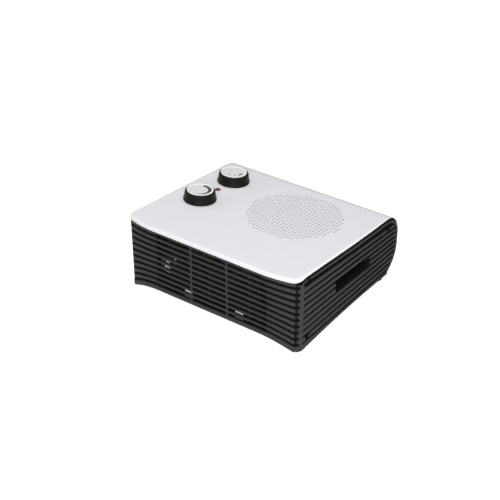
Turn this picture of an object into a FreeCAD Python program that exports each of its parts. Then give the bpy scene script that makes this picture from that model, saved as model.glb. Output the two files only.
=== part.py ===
import FreeCAD, Part
import math
import os

# Flat fan heater that stands on four feet, in millimetres.
# X is to the right, Y to the back, Z up, and the origin is on the floor under the middle of the body.

V = FreeCAD.Vector
AXIS_X = V(1, 0, 0)
AXIS_Y = V(0, 1, 0)
AXIS_Z = V(0, 0, 1)

# White cover: a sloping roof that rolls over the back
COVER_HALF_WIDTH = 116.0
COVER_FRONT = -110.5
COVER_BACK = 113.5
FRONT_HEIGHT = 98.8
TOP_TILT = 5.0
COVER_WALL = 2.5
LIP = 5.0
LIP_CHAMFER = 1.5
CORNER_R = 14.0
FLAT_INSET = 41.7
SWEEP_R = 116.0
SHOULDER_R = 30.0
LOWER_BACK_R = 39.0
PILLAR = 7.0
PILLAR_FRONT_INSETS = (26.0, 14.5)
PILLAR_BACK_INSETS = (46.0, 20.5)

# Black skirt: louvred front just behind the cover's edge, ribbed sides that stand proud of it
FRONT_SETBACK = 1.3
SIDE_PROUD = 3.0
SKIRT_CORNER_R = 10.0
SKIRT_WALL = 4.5
SKIRT_FLOOR = 2.4
FRONT_ARCH = 14.0
ARCH_FLAT_INSET = 44.5
ARCH_END_INSET = 4.0
SIDE_ARCH = 5.4
SIDE_ARCH_FRONT_INSET = 17.0
SIDE_ARCH_BACK_INSET = 10.0
GROOVES = 10
GROOVE_START = 0.07
GROOVE_END = 0.93
GROOVE_HEIGHT = 2.2
GROOVE_DEPTH = 2.8
RIM = 4.5
RIM_GROOVE = 1.6
JOINT_ANGLE = 55.0
JOINT_GAP = 0.8

# Outlet window in the front, three bays of slots between slats
WINDOW_LEFT_INSET = 46.7
WINDOW_RIGHT_INSET = 36.4
BAYS = 3
BAR_WIDTH = 3.0
BAR_SETBACK = 1.5
SLOT_HEIGHT = 3.6
SLAT_DEPTH = 8.0

# Hand recess and screw wells in each side
GRIP_FRONT_INSET = 81.8
GRIP_BACK_INSET = 67.3
GRIP_FRONT_TOP = 57.3
GRIP_FRONT_LOW = 39.4
GRIP_BACK_TOP = 49.8
GRIP_BACK_LOW = 36.1
GRIP_DEPTH = 14.0
GRIP_WALL = 2.0
GRIP_CORNER_R = 2.5
WELL_R = 3.6
WELL_WALL = 1.2
WELL_DEPTH = 9.0
WELL_FLOOR = 2.0
WELL_SIDES = 6
WELL_FRONT_INSET = 26.4
WELL_FRONT_DROP = 10.3
WELL_FRONT_LOW = 15.9
WELL_BACK_INSET = 27.1
WELL_BACK_DROP = 12.0

# Clearances: fixed seams, turning parts, running fits
SEAM = 0.2
TURN_GAP = 0.4
RUN_FIT = 0.05

# Bottom tray
BASE_LOW = 10.0
BASE_WALL = 2.5
POST_WIDTH = 8.8
POST_DEPTH = 10.0
FOOT_BLOCK = 12.0
FOOT_INSETS = (22.0, 24.5)
BACK_FOOT_INSETS = (6.5, 35.7)
PAD_R = 5.5
PAD_HEIGHT = 3.4
PAD_BEVEL = 0.8
PAD_SIDES = 12

# Screws
SCREW_R = 1.5
SCREW_SIDES = 6
SCREW_HEAD_R = 2.9
SCREW_HEAD_SIDES = 8
SCREW_HEAD = 2.2
SCREW_LENGTH = 12.0

# Intake in the roof, above the fan
INTAKE_RIGHT_INSET = 85.3
INTAKE_BACK_INSET = 93.1
INTAKE_R = 57.2
INTAKE_FLANGE = 3.0
INTAKE_FLANGE_WALL = 1.2
INTAKE_SIDES = 48
FLANGE_SIDES = 24
HOLE_PITCH = 11.0
HOLE_R = 3.7
HOLE_SIDES = 4
HOLE_MARGIN = 3.5

# Controls on the left of the roof
KNOB_LEFT_INSET = 37.6
THERMOSTAT_FRONT_INSET = 91.8
SELECTOR_BACK_INSET = 65.9
LAMP_BACK_INSET = 97.0
KNOB_SKIRT_R = 20.0
KNOB_WAIST_R = 18.6
KNOB_TOP_R = 17.3
KNOB_HEIGHT = 13.2
KNOB_SKIRT = 2.0
KNOB_WALL = 2.2
KNOB_HUB_R = 5.5
KNOB_SIDES = 36
HUB_SIDES = 8
SPINDLE_SIDES = 4
CAP_R = 15.7
CAP_HEIGHT = 1.2
CAP_SINK = 0.3
SPINDLE_R = 3.0
SPINDLE_DEPTH = 9.0
BUSH_R = 4.6
BUSH_SIDES = 12
BUSH_HEIGHT = 1.8
CONTROL_LENGTH = 30.0
CONTROL_WIDTH = 24.0
CONTROL_DEPTH = 22.0
CONTROL_PLATE = 1.5
CONTROL_EAR = 5.0
SWITCH_DEPTH = 26.0
SPADES = 4
SPADE = 7.0
LENS_R = 3.2
LENS_SIDES = 12
LENS_FLANGE_R = 4.0
LENS_RISE = 1.6
LENS_DEPTH = 9.0
LAMP_R = 2.2
LAMP_LENGTH = 18.0
LAMP_SIDES = 8

# Motor and fan wheel under the intake
SHAFT_R = 2.0
SHAFT_LOW = 16.0
SHAFT_TOP = 71.0
STACK_LOW = 24.0
STACK_HEIGHT = 18.0
STACK_HALF_X = 28.0
STACK_FRONT = -20.0
STACK_BACK = 46.0
STACK_WINDOW_HALF = 18.0
STACK_WINDOW_FRONT = 16.0
STACK_WINDOW_BACK = 34.0
ROTOR_R = 12.0
ROTOR_GAP = 0.4
ROTOR_SIDES = 32
COIL_HALF = 15.0
COIL_BUILD = 8.0
BRIDGE_HALF_WIDTH = 6.0
BRIDGE_RISE = 9.0
BRIDGE_WALL = 2.0
BRIDGE_FOOT = 9.0
BEARING_R = 5.0
BEARING_SIDES = 8
BEARING_LENGTH = 5.0
MOTOR_PILLAR = 6.0
WHEEL_R = 50.0
WHEEL_EYE_R = 33.0
WHEEL_LOW = 57.0
WHEEL_PLATE = 1.6
WHEEL_SIDES = 48
BLADE_TOP = 76.0
BLADE_WALL = 1.2
BLADE_LEAN = 35.0
BLADES = 20
HUB_R = 8.0
HUB_TOP = 69.0

# Fan scroll: radii at its tongue, left, back and right
SCROLL_TONGUE_R = 54.0
SCROLL_LEFT_R = 57.0
SCROLL_BACK_R = 61.0
SCROLL_RIGHT_R = 66.0
TONGUE_ANGLE = -115.0
SCROLL_WALL = 2.0
DECK_LOW = 53.0
DECK_WALL = 2.0
DECK_HOLE_R = 11.0
DECK_LEG = 6.0
FAN_LEGS = [(-43.0, 20.0), (49.0, 34.0)]
MOUTH_LEG_LEFT = (22.0, 10.0)
MOUTH_LEG_RIGHT = (4.0, 17.0)

# Heat duct and heating element behind the outlet
DUCT_MARGIN = 2.0
DUCT_WALL = 1.0
DUCT_FRONT_GAP = 0.3
DUCT_DEPTH = 48.5
DUCT_TOP_INSET = 8.2
BOARD_COUNT = 6
BOARD_WALL = 0.8
BOARD_FRONT_INSET = 16.5
BOARD_DEPTH = 24.0
RAIL_RAISE = 6.5
RAIL_TOP_INSET = 13.2
RAIL_WALL = 1.0
RAIL_MARGIN = 6.0
RAIL_TAB_INSETS = (31.0, 46.0)
RAIL_TAB = 10.0
RIBBON_ROWS = 4
RIBBON_FOLDS = 20
RIBBON_AMPLITUDE = 5.0
RIBBON_WIDTH = 5.0
RIBBON_WALL = 0.4
RIBBON_INSET = 8.0
CUTOUT_R = 8.5
CUTOUT_LENGTH = 4.5
CUTOUT_Z = 40.0
CUTOUT_SIDES = 24
FUSE_R = 1.4
FUSE_LENGTH = 14.0
FUSE_SIDES = 8

# Mains terminals and cord inlet
TERMINAL_LEFT_INSET = 36.0
TERMINAL_BACK_INSET = 35.5
TERMINAL_LENGTH = 30.0
TERMINAL_WIDTH = 16.0
TERMINAL_HEIGHT = 13.0
TERMINAL_WAYS = 3
TERMINAL_SHAFT = 4.0
GLAND_LEFT_INSET = 26.0
GLAND_Z = 44.0
GLAND_HALF = 5.0
GLAND_FLANGE = 2.4
GLAND_FLANGE_WALL = 1.2
GLAND_BORE_R = 3.6
GLAND_SIDES = 16
GLAND_LENGTH = 8.0

# Values worked out from the sizes above
BASE_TOP = BASE_LOW + BASE_WALL
TILT = math.radians(TOP_TILT)
FLAT_X = COVER_HALF_WIDTH - FLAT_INSET
SKIRT_FRONT = COVER_FRONT + FRONT_SETBACK
SIDE_FACE = COVER_HALF_WIDTH + SIDE_PROUD
SIDE_INNER = SIDE_FACE - SKIRT_WALL
SKIRT_CORNER_RUN = SIDE_FACE - SKIRT_CORNER_R - FLAT_X
SKIRT_CORNER_SPAN = math.sqrt((SWEEP_R - SKIRT_CORNER_R) ** 2 - SKIRT_CORNER_RUN ** 2)
SKIRT_CORNER_Y = SKIRT_FRONT + SWEEP_R - SKIRT_CORNER_SPAN
JOINT_Y = SKIRT_CORNER_Y - SKIRT_CORNER_R * math.sin(math.radians(JOINT_ANGLE))
ARCH_FLAT_X = COVER_HALF_WIDTH - ARCH_FLAT_INSET
ARCH_END_X = COVER_HALF_WIDTH - ARCH_END_INSET
WINDOW_LEFT = WINDOW_LEFT_INSET - COVER_HALF_WIDTH
WINDOW_RIGHT = COVER_HALF_WIDTH - WINDOW_RIGHT_INSET
GRIP_FRONT_Y = COVER_FRONT + GRIP_FRONT_INSET
GRIP_BACK_Y = COVER_BACK - GRIP_BACK_INSET
FOOT_X = COVER_HALF_WIDTH - FOOT_INSETS[0]
FOOT_FRONT_Y = COVER_FRONT + FOOT_INSETS[1]
FOOT_BACK_X = SIDE_FACE - BACK_FOOT_INSETS[0]
FOOT_BACK_Y = COVER_BACK - BACK_FOOT_INSETS[1]
INTAKE_X = COVER_HALF_WIDTH - INTAKE_RIGHT_INSET
INTAKE_Y = COVER_BACK - INTAKE_BACK_INSET
KNOB_X = KNOB_LEFT_INSET - COVER_HALF_WIDTH
THERMOSTAT_Y = COVER_FRONT + THERMOSTAT_FRONT_INSET
SELECTOR_Y = COVER_BACK - SELECTOR_BACK_INSET
LAMP_Y = COVER_BACK - LAMP_BACK_INSET
DUCT_BACK = COVER_FRONT + DUCT_DEPTH
DUCT_TOP = FRONT_HEIGHT - DUCT_TOP_INSET
BOARD_FRONT = COVER_FRONT + BOARD_FRONT_INSET
BOARD_BACK = BOARD_FRONT + BOARD_DEPTH
RAIL_LOW = BASE_TOP + RAIL_RAISE
RAIL_TOP = FRONT_HEIGHT - RAIL_TOP_INSET
RAIL_TAB_X = (WINDOW_LEFT + RAIL_TAB_INSETS[0], WINDOW_RIGHT - RAIL_TAB_INSETS[1])
RIBBON_FRONT = BOARD_FRONT + RIBBON_INSET
TERMINAL_X = TERMINAL_LEFT_INSET - COVER_HALF_WIDTH
TERMINAL_Y = COVER_BACK - TERMINAL_BACK_INSET
GLAND_X = GLAND_LEFT_INSET - COVER_HALF_WIDTH
WELL_END = SIDE_FACE - WELL_DEPTH - WELL_FLOOR
POST_X = WELL_END - SEAM - POST_WIDTH / 2
STACK_TOP = STACK_LOW + STACK_HEIGHT
FAR = 200.0


def top_z(y):
    """Height of the roof at y."""
    return FRONT_HEIGHT - (y - COVER_FRONT) * math.tan(TILT)


def well(y, drop):
    """Middle of a screw well that lies a drop below the roof: y, z."""
    return y, top_z(y) - drop


WELLS = [
    well(COVER_FRONT + WELL_FRONT_INSET, WELL_FRONT_DROP),
    (COVER_FRONT + WELL_FRONT_INSET, WELL_FRONT_LOW),
    well(COVER_BACK - WELL_BACK_INSET, WELL_BACK_DROP),
]


def box(x0, x1, y0, y1, z0, z1):
    return Part.makeBox(x1 - x0, y1 - y0, z1 - z0, V(x0, y0, z0))


def rod(radius, start, end):
    """Cylinder between two points."""
    return Part.makeCylinder(radius, (end - start).Length, start, end - start)


def flat_face(points):
    return Part.Face(Part.makePolygon(points + points[:1]))


def prism(points, direction):
    """Polygon through points, extruded along a vector."""
    return flat_face(points).extrude(direction)


def edges_prism(edges, direction):
    """Closed outline of touching edges, extruded along a vector."""
    return Part.Face(Part.Wire(Part.__sortEdges__(edges))).extrude(direction)


def line(a, b):
    return Part.LineSegment(a, b).toShape()


def arc(a, b, c):
    return Part.Arc(a, b, c).toShape()


def ring_points(radius, sides):
    """Corners of a regular polygon about Z, with one flat towards +X."""
    turns = [2 * math.pi * (k + 0.5) / sides for k in range(sides)]
    return [V(math.cos(t), math.sin(t), 0) * radius for t in turns]


def pointed(shape, point, direction):
    """Turns a shape's Z to a direction and moves it to a point."""
    placed = shape.copy()
    placed.Placement = FreeCAD.Placement(point, FreeCAD.Rotation(AXIS_Z, direction))
    return placed


def many_sided(flat_r, sides, start, end):
    """Regular prism between two points, with its flats at flat_r from the axis."""
    corner_r = flat_r / math.cos(math.pi / sides)
    solid = prism(ring_points(corner_r, sides), AXIS_Z * (end - start).Length)
    return pointed(solid, start, end - start)


def tapered(sections, sides):
    """Regular polygons of (corner radius, height), joined by flat faces."""
    rings = [[p + AXIS_Z * z for p in ring_points(radius, sides)] for radius, z in sections]
    faces = [flat_face(rings[0]), flat_face(rings[-1])]
    for low, high in zip(rings, rings[1:]):
        for k in range(sides):
            faces.append(flat_face([low[k - 1], low[k], high[k], high[k - 1]]))
    return Part.makeSolid(Part.Shell(faces))


def mirrored(shape):
    return shape.mirror(V(0, 0, 0), AXIS_X)


def on_roof(shape, x, y):
    """Moves a shape made about the origin to a point of the roof, with its Z square to the roof."""
    placed = shape.copy()
    roof = FreeCAD.Placement(V(x, y, top_z(y)), FreeCAD.Rotation(AXIS_X, -TOP_TILT))
    placed.Placement = roof.multiply(placed.Placement)
    return placed


def at(shape, x, y, z=0.0):
    placed = shape.copy()
    placed.translate(V(x, y, z))
    return placed


# Plan and side outlines that the cover, skirt and tray share

def plan(half_width, front, corner_r, inset):
    """Tall prism on a plan outline drawn in by an inset: flat front that sweeps back to round corners."""
    sweep_r = SWEEP_R - inset
    radius = corner_r - inset
    sweep = V(FLAT_X, front + SWEEP_R, -FAR)
    run = half_width - corner_r - FLAT_X
    centre = V(FLAT_X + run, sweep.y - math.sqrt((SWEEP_R - corner_r) ** 2 - run ** 2), -FAR)
    out = (centre - sweep).normalize()
    flat_end = sweep - AXIS_Y * sweep_r
    sweep_middle = sweep + (out - AXIS_Y).normalize() * sweep_r
    sweep_end = centre + out * radius
    corner = centre + (out + AXIS_X).normalize() * radius
    side = centre + AXIS_X * radius
    back = V(side.x, FAR, -FAR)

    def left(p):
        return V(-p.x, p.y, p.z)

    edges = [line(left(flat_end), flat_end), line(back, left(back))]
    for turn in (V, left):
        edges.append(arc(turn(flat_end), turn(sweep_middle), turn(sweep_end)))
        edges.append(arc(turn(sweep_end), turn(corner), turn(side)))
        edges.append(line(turn(side), turn(back)))
    return edges_prism(edges, AXIS_Z * 2 * FAR)


def cover_plan(inset):
    return plan(COVER_HALF_WIDTH, COVER_FRONT, CORNER_R, inset)


def skirt_plan(inset):
    return plan(SIDE_FACE, SKIRT_FRONT, SKIRT_CORNER_R, inset)


def profile(inset):
    """Wide prism on the side outline: sloping roof, round shoulder, back and round lower corner."""
    back = COVER_BACK - inset
    low = SKIRT_FLOOR - LIP + inset
    drop = inset / math.cos(TILT)
    corners = [
        V(-FAR, -FAR, low),
        V(-FAR, back, low),
        V(-FAR, back, top_z(back) - drop),
        V(-FAR, -FAR, top_z(-FAR) - drop),
    ]
    solid = prism(corners, AXIS_X * 2 * FAR)

    def across_back(z):
        return [e for e in solid.Edges if all(math.hypot(v.Y - back, v.Z - z) < 1e-6 for v in e.Vertexes)]

    solid = solid.makeFillet(SHOULDER_R - inset, across_back(corners[2].z))
    return solid.makeFillet(LOWER_BACK_R - inset, across_back(low))


def lower_back_y(z, inset):
    """Y of the side outline's lower back corner at height z."""
    centre_z = SKIRT_FLOOR - LIP + LOWER_BACK_R
    return COVER_BACK - LOWER_BACK_R + math.sqrt((LOWER_BACK_R - inset) ** 2 - (centre_z - z) ** 2)


# White cover

def pillar_places():
    front_x, front_y = COVER_HALF_WIDTH - PILLAR_FRONT_INSETS[0], COVER_FRONT + PILLAR_FRONT_INSETS[1]
    back_x, back_y = COVER_HALF_WIDTH - PILLAR_BACK_INSETS[0], COVER_BACK - PILLAR_BACK_INSETS[1]
    return [(side * x, y) for side in (-1, 1) for x, y in ((front_x, front_y), (back_x, back_y))]


def control_places():
    return [(KNOB_X, THERMOSTAT_Y), (KNOB_X, SELECTOR_Y)]


def screw_hole(start, end):
    """Moulded pilot hole that the flats of a screw's shank fill."""
    return many_sided(SCREW_R, SCREW_SIDES, start, end)


def top_cover():
    """Roof, back and lips in one moulding, with pillars for the screws from below."""
    outer = cover_plan(0).common(profile(0)).common(box(-FAR, FAR, -FAR, FAR, BASE_TOP, FAR))

    def on_rim(edge):
        a, b = edge.firstVertex().Point, edge.lastVertex().Point
        along = b - a
        upright = abs(along.x) + abs(along.y) < 1e-6
        cut_off = max(a.z, b.z) < BASE_TOP + 1e-6
        front = max(a.y, b.y) < 0
        return not upright and not cut_off and (front or abs(along.x) < 1e-6)

    outer = outer.makeChamfer(LIP_CHAMFER, [e for e in outer.Edges if on_rim(e)])
    inner = cover_plan(COVER_WALL).common(profile(COVER_WALL))
    cover = outer.cut(inner).cut(profile(LIP))
    inside_roof = profile(COVER_WALL / 2)
    half = PILLAR / 2
    for x, y in pillar_places():
        pillar = box(x - half, x + half, y - half, y + half, BASE_TOP, FAR).common(inside_roof)
        hole = screw_hole(V(x, y, BASE_TOP), V(x, y, BASE_TOP + SCREW_LENGTH))
        cover = cover.fuse(pillar).cut(hole)
    through = (V(0, 0, -2 * LIP), V(0, 0, LIP))
    cover = cover.cut(on_roof(many_sided(INTAKE_R, INTAKE_SIDES, *through), INTAKE_X, INTAKE_Y))
    for x, y in control_places():
        cover = cover.cut(on_roof(many_sided(BUSH_R + SEAM, BUSH_SIDES, *through), x, y))
    cover = cover.cut(on_roof(many_sided(LENS_R, LENS_SIDES, *through), KNOB_X, LAMP_Y))
    cover = cover.cut(gland_box(GLAND_HALF, 0, FAR))
    recess = gland_box(GLAND_HALF + GLAND_FLANGE + SEAM, COVER_BACK - GLAND_FLANGE_WALL, FAR)
    return cover.cut(recess).removeSplitter()


def intake_grille():
    """Flush disc with rows of holes along X, and a flange that clips under the roof."""
    flange_inner = INTAKE_R - INTAKE_FLANGE
    reach = flange_inner - HOLE_MARGIN
    row_step = HOLE_PITCH * math.sqrt(3) / 2
    rows = int(reach / row_step)
    columns = int(reach / HOLE_PITCH) + 1
    edge = ring_points(INTAKE_R - SEAM, INTAKE_SIDES)
    wires = [Part.makePolygon(edge + edge[:1])]
    for row in range(-rows, rows + 1):
        shift = HOLE_PITCH / 2 if row % 2 else 0.0
        for column in range(-columns, columns + 1):
            centre = V(column * HOLE_PITCH + shift, row * row_step, 0)
            if centre.Length <= reach:
                points = [centre + p for p in ring_points(HOLE_R, HOLE_SIDES)]
                wires.append(Part.makePolygon(points + points[:1]))
    face = Part.makeFace(Part.makeCompound(wires), "Part::FaceMakerBullseye")
    disc = face.extrude(AXIS_Z * -COVER_WALL)
    flange = (V(0, 0, -COVER_WALL - INTAKE_FLANGE_WALL), V(0, 0, -COVER_WALL))
    ring = many_sided(INTAKE_R + INTAKE_FLANGE, FLANGE_SIDES, *flange)
    ring = ring.cut(many_sided(flange_inner, FLANGE_SIDES, *flange))
    return on_roof(disc.fuse(ring), INTAKE_X, INTAKE_Y)


# Black skirt

def groove_share(i):
    """Share of the skirt's height, from the lip down, at which groove i lies."""
    return (i - GROOVE_START) / (GROOVES + GROOVE_END)


def level(top, low, share):
    return top - share * (top - low)


def front_level(share):
    return level(top_z(COVER_FRONT) - LIP, FRONT_ARCH, share)


def corner_level(share):
    return level(top_z(JOINT_Y) - LIP, SKIRT_FLOOR, share)


def back_level(share):
    return level(top_z(COVER_BACK) - LIP, SKIRT_FLOOR, share)


def drop_middle(a, b):
    """Middle of the arc that leaves a level and falls to b, in a plane y = constant."""
    run, fall = b.x - a.x, a.z - b.z
    radius = (run ** 2 + fall ** 2) / (2 * fall)
    half = math.asin(run / radius) / 2
    return a + V(radius * math.sin(half), 0, -radius * (1 - math.cos(half)))


def round_drop(a, b):
    return [arc(a, drop_middle(a, b), b)]


def kinked_drop(a, b):
    return [line(a, drop_middle(a, b)), line(drop_middle(a, b), b)]


def fan_path(share, lift, drop):
    """Line on the right half of the front that stays level over the outlet and drops to the corner."""
    high = front_level(share) + lift
    low = corner_level(share) + lift
    start = V(0, -FAR, high)
    flat_end = V(ARCH_FLAT_X, -FAR, high)
    drop_end = V(ARCH_END_X, -FAR, low)
    end = V(FAR, -FAR, low)
    edges = [line(start, flat_end), *drop(flat_end, drop_end), line(drop_end, end)]
    return edges, start, end


def fan_band(share, up, down, drop=kinked_drop):
    """Band between two lifts of a fan path, cut square at its ends and extruded to the back."""
    upper, upper_start, upper_end = fan_path(share, up, drop)
    lower, lower_start, lower_end = fan_path(share, down, drop)
    ends = [line(upper_start, lower_start), line(upper_end, lower_end)]
    return edges_prism(upper + lower + ends, AXIS_Y * 2 * FAR)


def skin(depth):
    """Outer layer of the skirt, as deep as its grooves."""
    return skirt_plan(0).cut(skirt_plan(depth))


def skirt():
    return skirt_plan(0).cut(skirt_plan(SKIRT_WALL)).common(profile(LIP + SEAM))


def bay_edges():
    """Left and right of each bay of the outlet."""
    step = (WINDOW_RIGHT - WINDOW_LEFT + BAR_WIDTH) / BAYS
    return [(WINDOW_LEFT + k * step, WINDOW_LEFT + (k + 1) * step - BAR_WIDTH) for k in range(BAYS)]


def front_grille():
    front = skirt().common(box(-FAR, FAR, -FAR, JOINT_Y, -FAR, FAR))
    under = fan_band(1.0, 0.0, -FAR / 4, round_drop)
    front = front.cut(under).cut(mirrored(under))
    slat_back = SKIRT_FRONT + SLAT_DEPTH
    slats = box(WINDOW_LEFT, WINDOW_RIGHT, COVER_FRONT, slat_back, front_level(1.0), front_level(0.0))
    front = front.fuse(slats.common(skirt_plan(SKIRT_WALL)).common(profile(LIP + SEAM)))
    bands = [fan_band(groove_share(i), GROOVE_HEIGHT / 2, -GROOVE_HEIGHT / 2) for i in range(1, GROOVES + 1)]
    bands = Part.makeCompound(bands + [mirrored(b) for b in bands])
    outside = box(-FAR, WINDOW_LEFT, -FAR, FAR, -FAR, FAR).fuse(box(WINDOW_RIGHT, FAR, -FAR, FAR, -FAR, FAR))
    front = front.cut(bands.common(skin(GROOVE_DEPTH).common(outside)))
    slots = []
    for i in range(1, GROOVES + 1):
        low = front_level(groove_share(i)) - SLOT_HEIGHT / 2
        high = low + SLOT_HEIGHT
        setback = SKIRT_FRONT + BAR_SETBACK
        slots.append(box(WINDOW_LEFT, WINDOW_RIGHT, -FAR, setback, low, high))
        slots += [box(left, right, -FAR, slat_back, low, high) for left, right in bay_edges()]
    return front.cut(Part.makeCompound(slots))


def grip_outline(grow):
    """Outline of the hand recess, grown by a wall, in the plane x = 0."""
    slope_top = (GRIP_BACK_TOP - GRIP_FRONT_TOP) / (GRIP_BACK_Y - GRIP_FRONT_Y)
    slope_low = (GRIP_BACK_LOW - GRIP_FRONT_LOW) / (GRIP_BACK_Y - GRIP_FRONT_Y)
    front, back = GRIP_FRONT_Y - grow, GRIP_BACK_Y + grow

    def top(y):
        return GRIP_FRONT_TOP + slope_top * (y - GRIP_FRONT_Y) + grow

    def low(y):
        return GRIP_FRONT_LOW + slope_low * (y - GRIP_FRONT_Y) - grow

    return [V(0, front, low(front)), V(0, back, low(back)), V(0, back, top(back)), V(0, front, top(front))]


def grip_block(grow, x0, x1):
    return at(prism(grip_outline(grow), AXIS_X * (x1 - x0)), x0, 0)


def side_groove(share):
    """Groove that runs from the front corner to the back and closes up as the roof falls."""
    half = AXIS_Z * (GROOVE_HEIGHT / 2)
    front = V(0, JOINT_Y, corner_level(share))
    back = V(0, COVER_BACK, back_level(share))
    return prism([front + half, back + half, back - half, front - half], AXIS_X * FAR)


def side_panel():
    """Right-hand panel."""
    half_space = box(0, FAR, JOINT_Y + JOINT_GAP, FAR, -FAR, FAR)
    panel = skirt().common(half_space)
    front = V(0, COVER_FRONT + SIDE_ARCH_FRONT_INSET, SKIRT_FLOOR)
    back = V(0, COVER_BACK - SIDE_ARCH_BACK_INSET, SKIRT_FLOOR)
    belly = V(0, (front.y + back.y) / 2, SIDE_ARCH)
    panel = panel.cut(edges_prism([arc(front, belly, back), line(front, back)], AXIS_X * FAR))
    bands = Part.makeCompound([side_groove(groove_share(i)) for i in range(1, GROOVES + 1)])
    cut_skin = skin(GROOVE_DEPTH).common(half_space)
    inside_rim = profile(LIP + SEAM + RIM)
    panel = panel.cut(bands.common(cut_skin.common(inside_rim)))
    rim_groove = inside_rim.cut(profile(LIP + SEAM + RIM + RIM_GROOVE))
    behind = box(0, FAR, COVER_BACK - SHOULDER_R, FAR, SKIRT_FLOOR + SHOULDER_R / 4, FAR)
    panel = panel.cut(rim_groove.common(cut_skin).common(behind))
    pocket_end = SIDE_FACE - GRIP_DEPTH
    panel = panel.fuse(grip_block(GRIP_WALL, pocket_end - GRIP_WALL, SIDE_INNER))
    pocket = grip_block(0.0, pocket_end, FAR)
    along = [e for e in pocket.Edges if abs(e.lastVertex().X - e.firstVertex().X) > 1]
    panel = panel.cut(pocket.makeFillet(GRIP_CORNER_R, along))
    for y, z in WELLS:
        panel = panel.fuse(many_sided(WELL_R + WELL_WALL, WELL_SIDES, V(WELL_END, y, z), V(SIDE_INNER, y, z)))
        panel = panel.cut(many_sided(WELL_R, 2 * WELL_SIDES, V(SIDE_FACE - WELL_DEPTH, y, z), V(FAR, y, z)))
        panel = panel.cut(screw_hole(V(0, y, z), V(FAR, y, z)))
    return panel.removeSplitter()


# Bottom tray and feet

def motor_pillar_places():
    inset = MOTOR_PILLAR
    xs = (-STACK_HALF_X + inset, STACK_HALF_X - inset)
    ys = (STACK_FRONT + inset, STACK_BACK - inset)
    return [(INTAKE_X + x, INTAKE_Y + y) for x in xs for y in ys]


def foot_places():
    """Middle of each foot block: x, y."""
    return [(side * x, y) for side in (-1, 1) for x, y in ((FOOT_X, FOOT_FRONT_Y), (FOOT_BACK_X, FOOT_BACK_Y))]


def base_tray():
    rear = lower_back_y(BASE_LOW, 0.0)
    sheet = box(-FAR, FAR, -FAR, rear, BASE_LOW, BASE_TOP)
    tray = skirt_plan(SKIRT_WALL + SEAM).common(sheet)
    roof_under = profile(COVER_WALL)
    for side in (-1, 1):
        x0, x1 = side * POST_X - POST_WIDTH / 2, side * POST_X + POST_WIDTH / 2
        y_front, y_back = WELLS[0][0], WELLS[2][0]
        post = box(x0, x1, y_front - POST_DEPTH / 2, y_front + POST_DEPTH / 2, BASE_LOW, FAR)
        tray = tray.fuse(post.common(roof_under))
        top = WELLS[2][1] + POST_DEPTH / 2
        tray = tray.fuse(box(x0, x1, y_back - POST_DEPTH / 2, y_back + POST_DEPTH / 2, BASE_LOW, top))
    half = FOOT_BLOCK / 2
    inside = skirt_plan(SKIRT_WALL + SEAM)
    for x, y in foot_places():
        tray = tray.fuse(box(x - half, x + half, y - half, y + half, PAD_HEIGHT, BASE_TOP).common(inside))
    half = MOTOR_PILLAR / 2
    for x, y in motor_pillar_places():
        tray = tray.fuse(box(x - half, x + half, y - half, y + half, BASE_LOW, STACK_LOW))
    tube_r = WELL_R + WELL_WALL + SEAM
    for y, z in WELLS:
        for side in (-1, 1):
            outside = V(side * FAR, y, z)
            mouth = many_sided(tube_r, WELL_SIDES, V(side * (WELL_END - SEAM), y, z), outside)
            hole = screw_hole(V(side * (WELL_END - SCREW_LENGTH), y, z), outside)
            tray = tray.cut(mouth).cut(hole)
    for x, y in pillar_places():
        tray = tray.cut(screw_hole(V(x, y, 0), V(x, y, BASE_TOP)))
    return tray.removeSplitter()


def rubber_feet():
    """Bevelled pads; the back ones reach out under the side panels."""
    pad = tapered([(PAD_R - PAD_BEVEL, 0), (PAD_R, PAD_BEVEL), (PAD_R, PAD_HEIGHT)], PAD_SIDES)
    return Part.makeCompound([at(pad, x, y) for x, y in foot_places()])


# Screws

def screw():
    """Screw along -Z, with the underside of its head at the origin."""
    head = many_sided(SCREW_HEAD_R, SCREW_HEAD_SIDES, V(0, 0, 0), V(0, 0, SCREW_HEAD))
    return head.fuse(screw_hole(V(0, 0, -SCREW_LENGTH), V(0, 0, 0)))


def side_screws():
    floor = SIDE_FACE - WELL_DEPTH
    body = screw()
    shapes = []
    for side in (-1, 1):
        shapes += [pointed(body, V(side * floor, y, z), AXIS_X * side) for y, z in WELLS]
    return Part.makeCompound(shapes)


def cover_screws():
    body = screw()
    return Part.makeCompound([pointed(body, V(x, y, BASE_LOW), -AXIS_Z) for x, y in pillar_places()])


# Controls

def knob():
    """Black knob with a flared skirt, a seat for its cap, a hollow underside and a hub."""
    seat = KNOB_HEIGHT - CAP_HEIGHT - CAP_SINK
    ceiling = seat - KNOB_WALL
    sections = [
        (KNOB_SKIRT_R, TURN_GAP),
        (KNOB_SKIRT_R, TURN_GAP + KNOB_SKIRT * 0.6),
        (KNOB_WAIST_R, TURN_GAP + KNOB_SKIRT * 1.6),
        (KNOB_TOP_R, KNOB_HEIGHT),
    ]
    body = tapered(sections, KNOB_SIDES)
    body = body.cut(many_sided(CAP_R + SEAM / 2, KNOB_SIDES, V(0, 0, seat), V(0, 0, KNOB_HEIGHT)))
    body = body.cut(many_sided(KNOB_TOP_R - KNOB_WALL, 2 * HUB_SIDES, V(0, 0, 0), V(0, 0, ceiling)))
    body = body.fuse(many_sided(KNOB_HUB_R, HUB_SIDES, V(0, 0, BUSH_HEIGHT + TURN_GAP), V(0, 0, ceiling)))
    return body.cut(spindle_end())


def cap():
    top = KNOB_HEIGHT - CAP_SINK
    return many_sided(CAP_R, KNOB_SIDES, V(0, 0, top - CAP_HEIGHT), V(0, 0, top))


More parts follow.
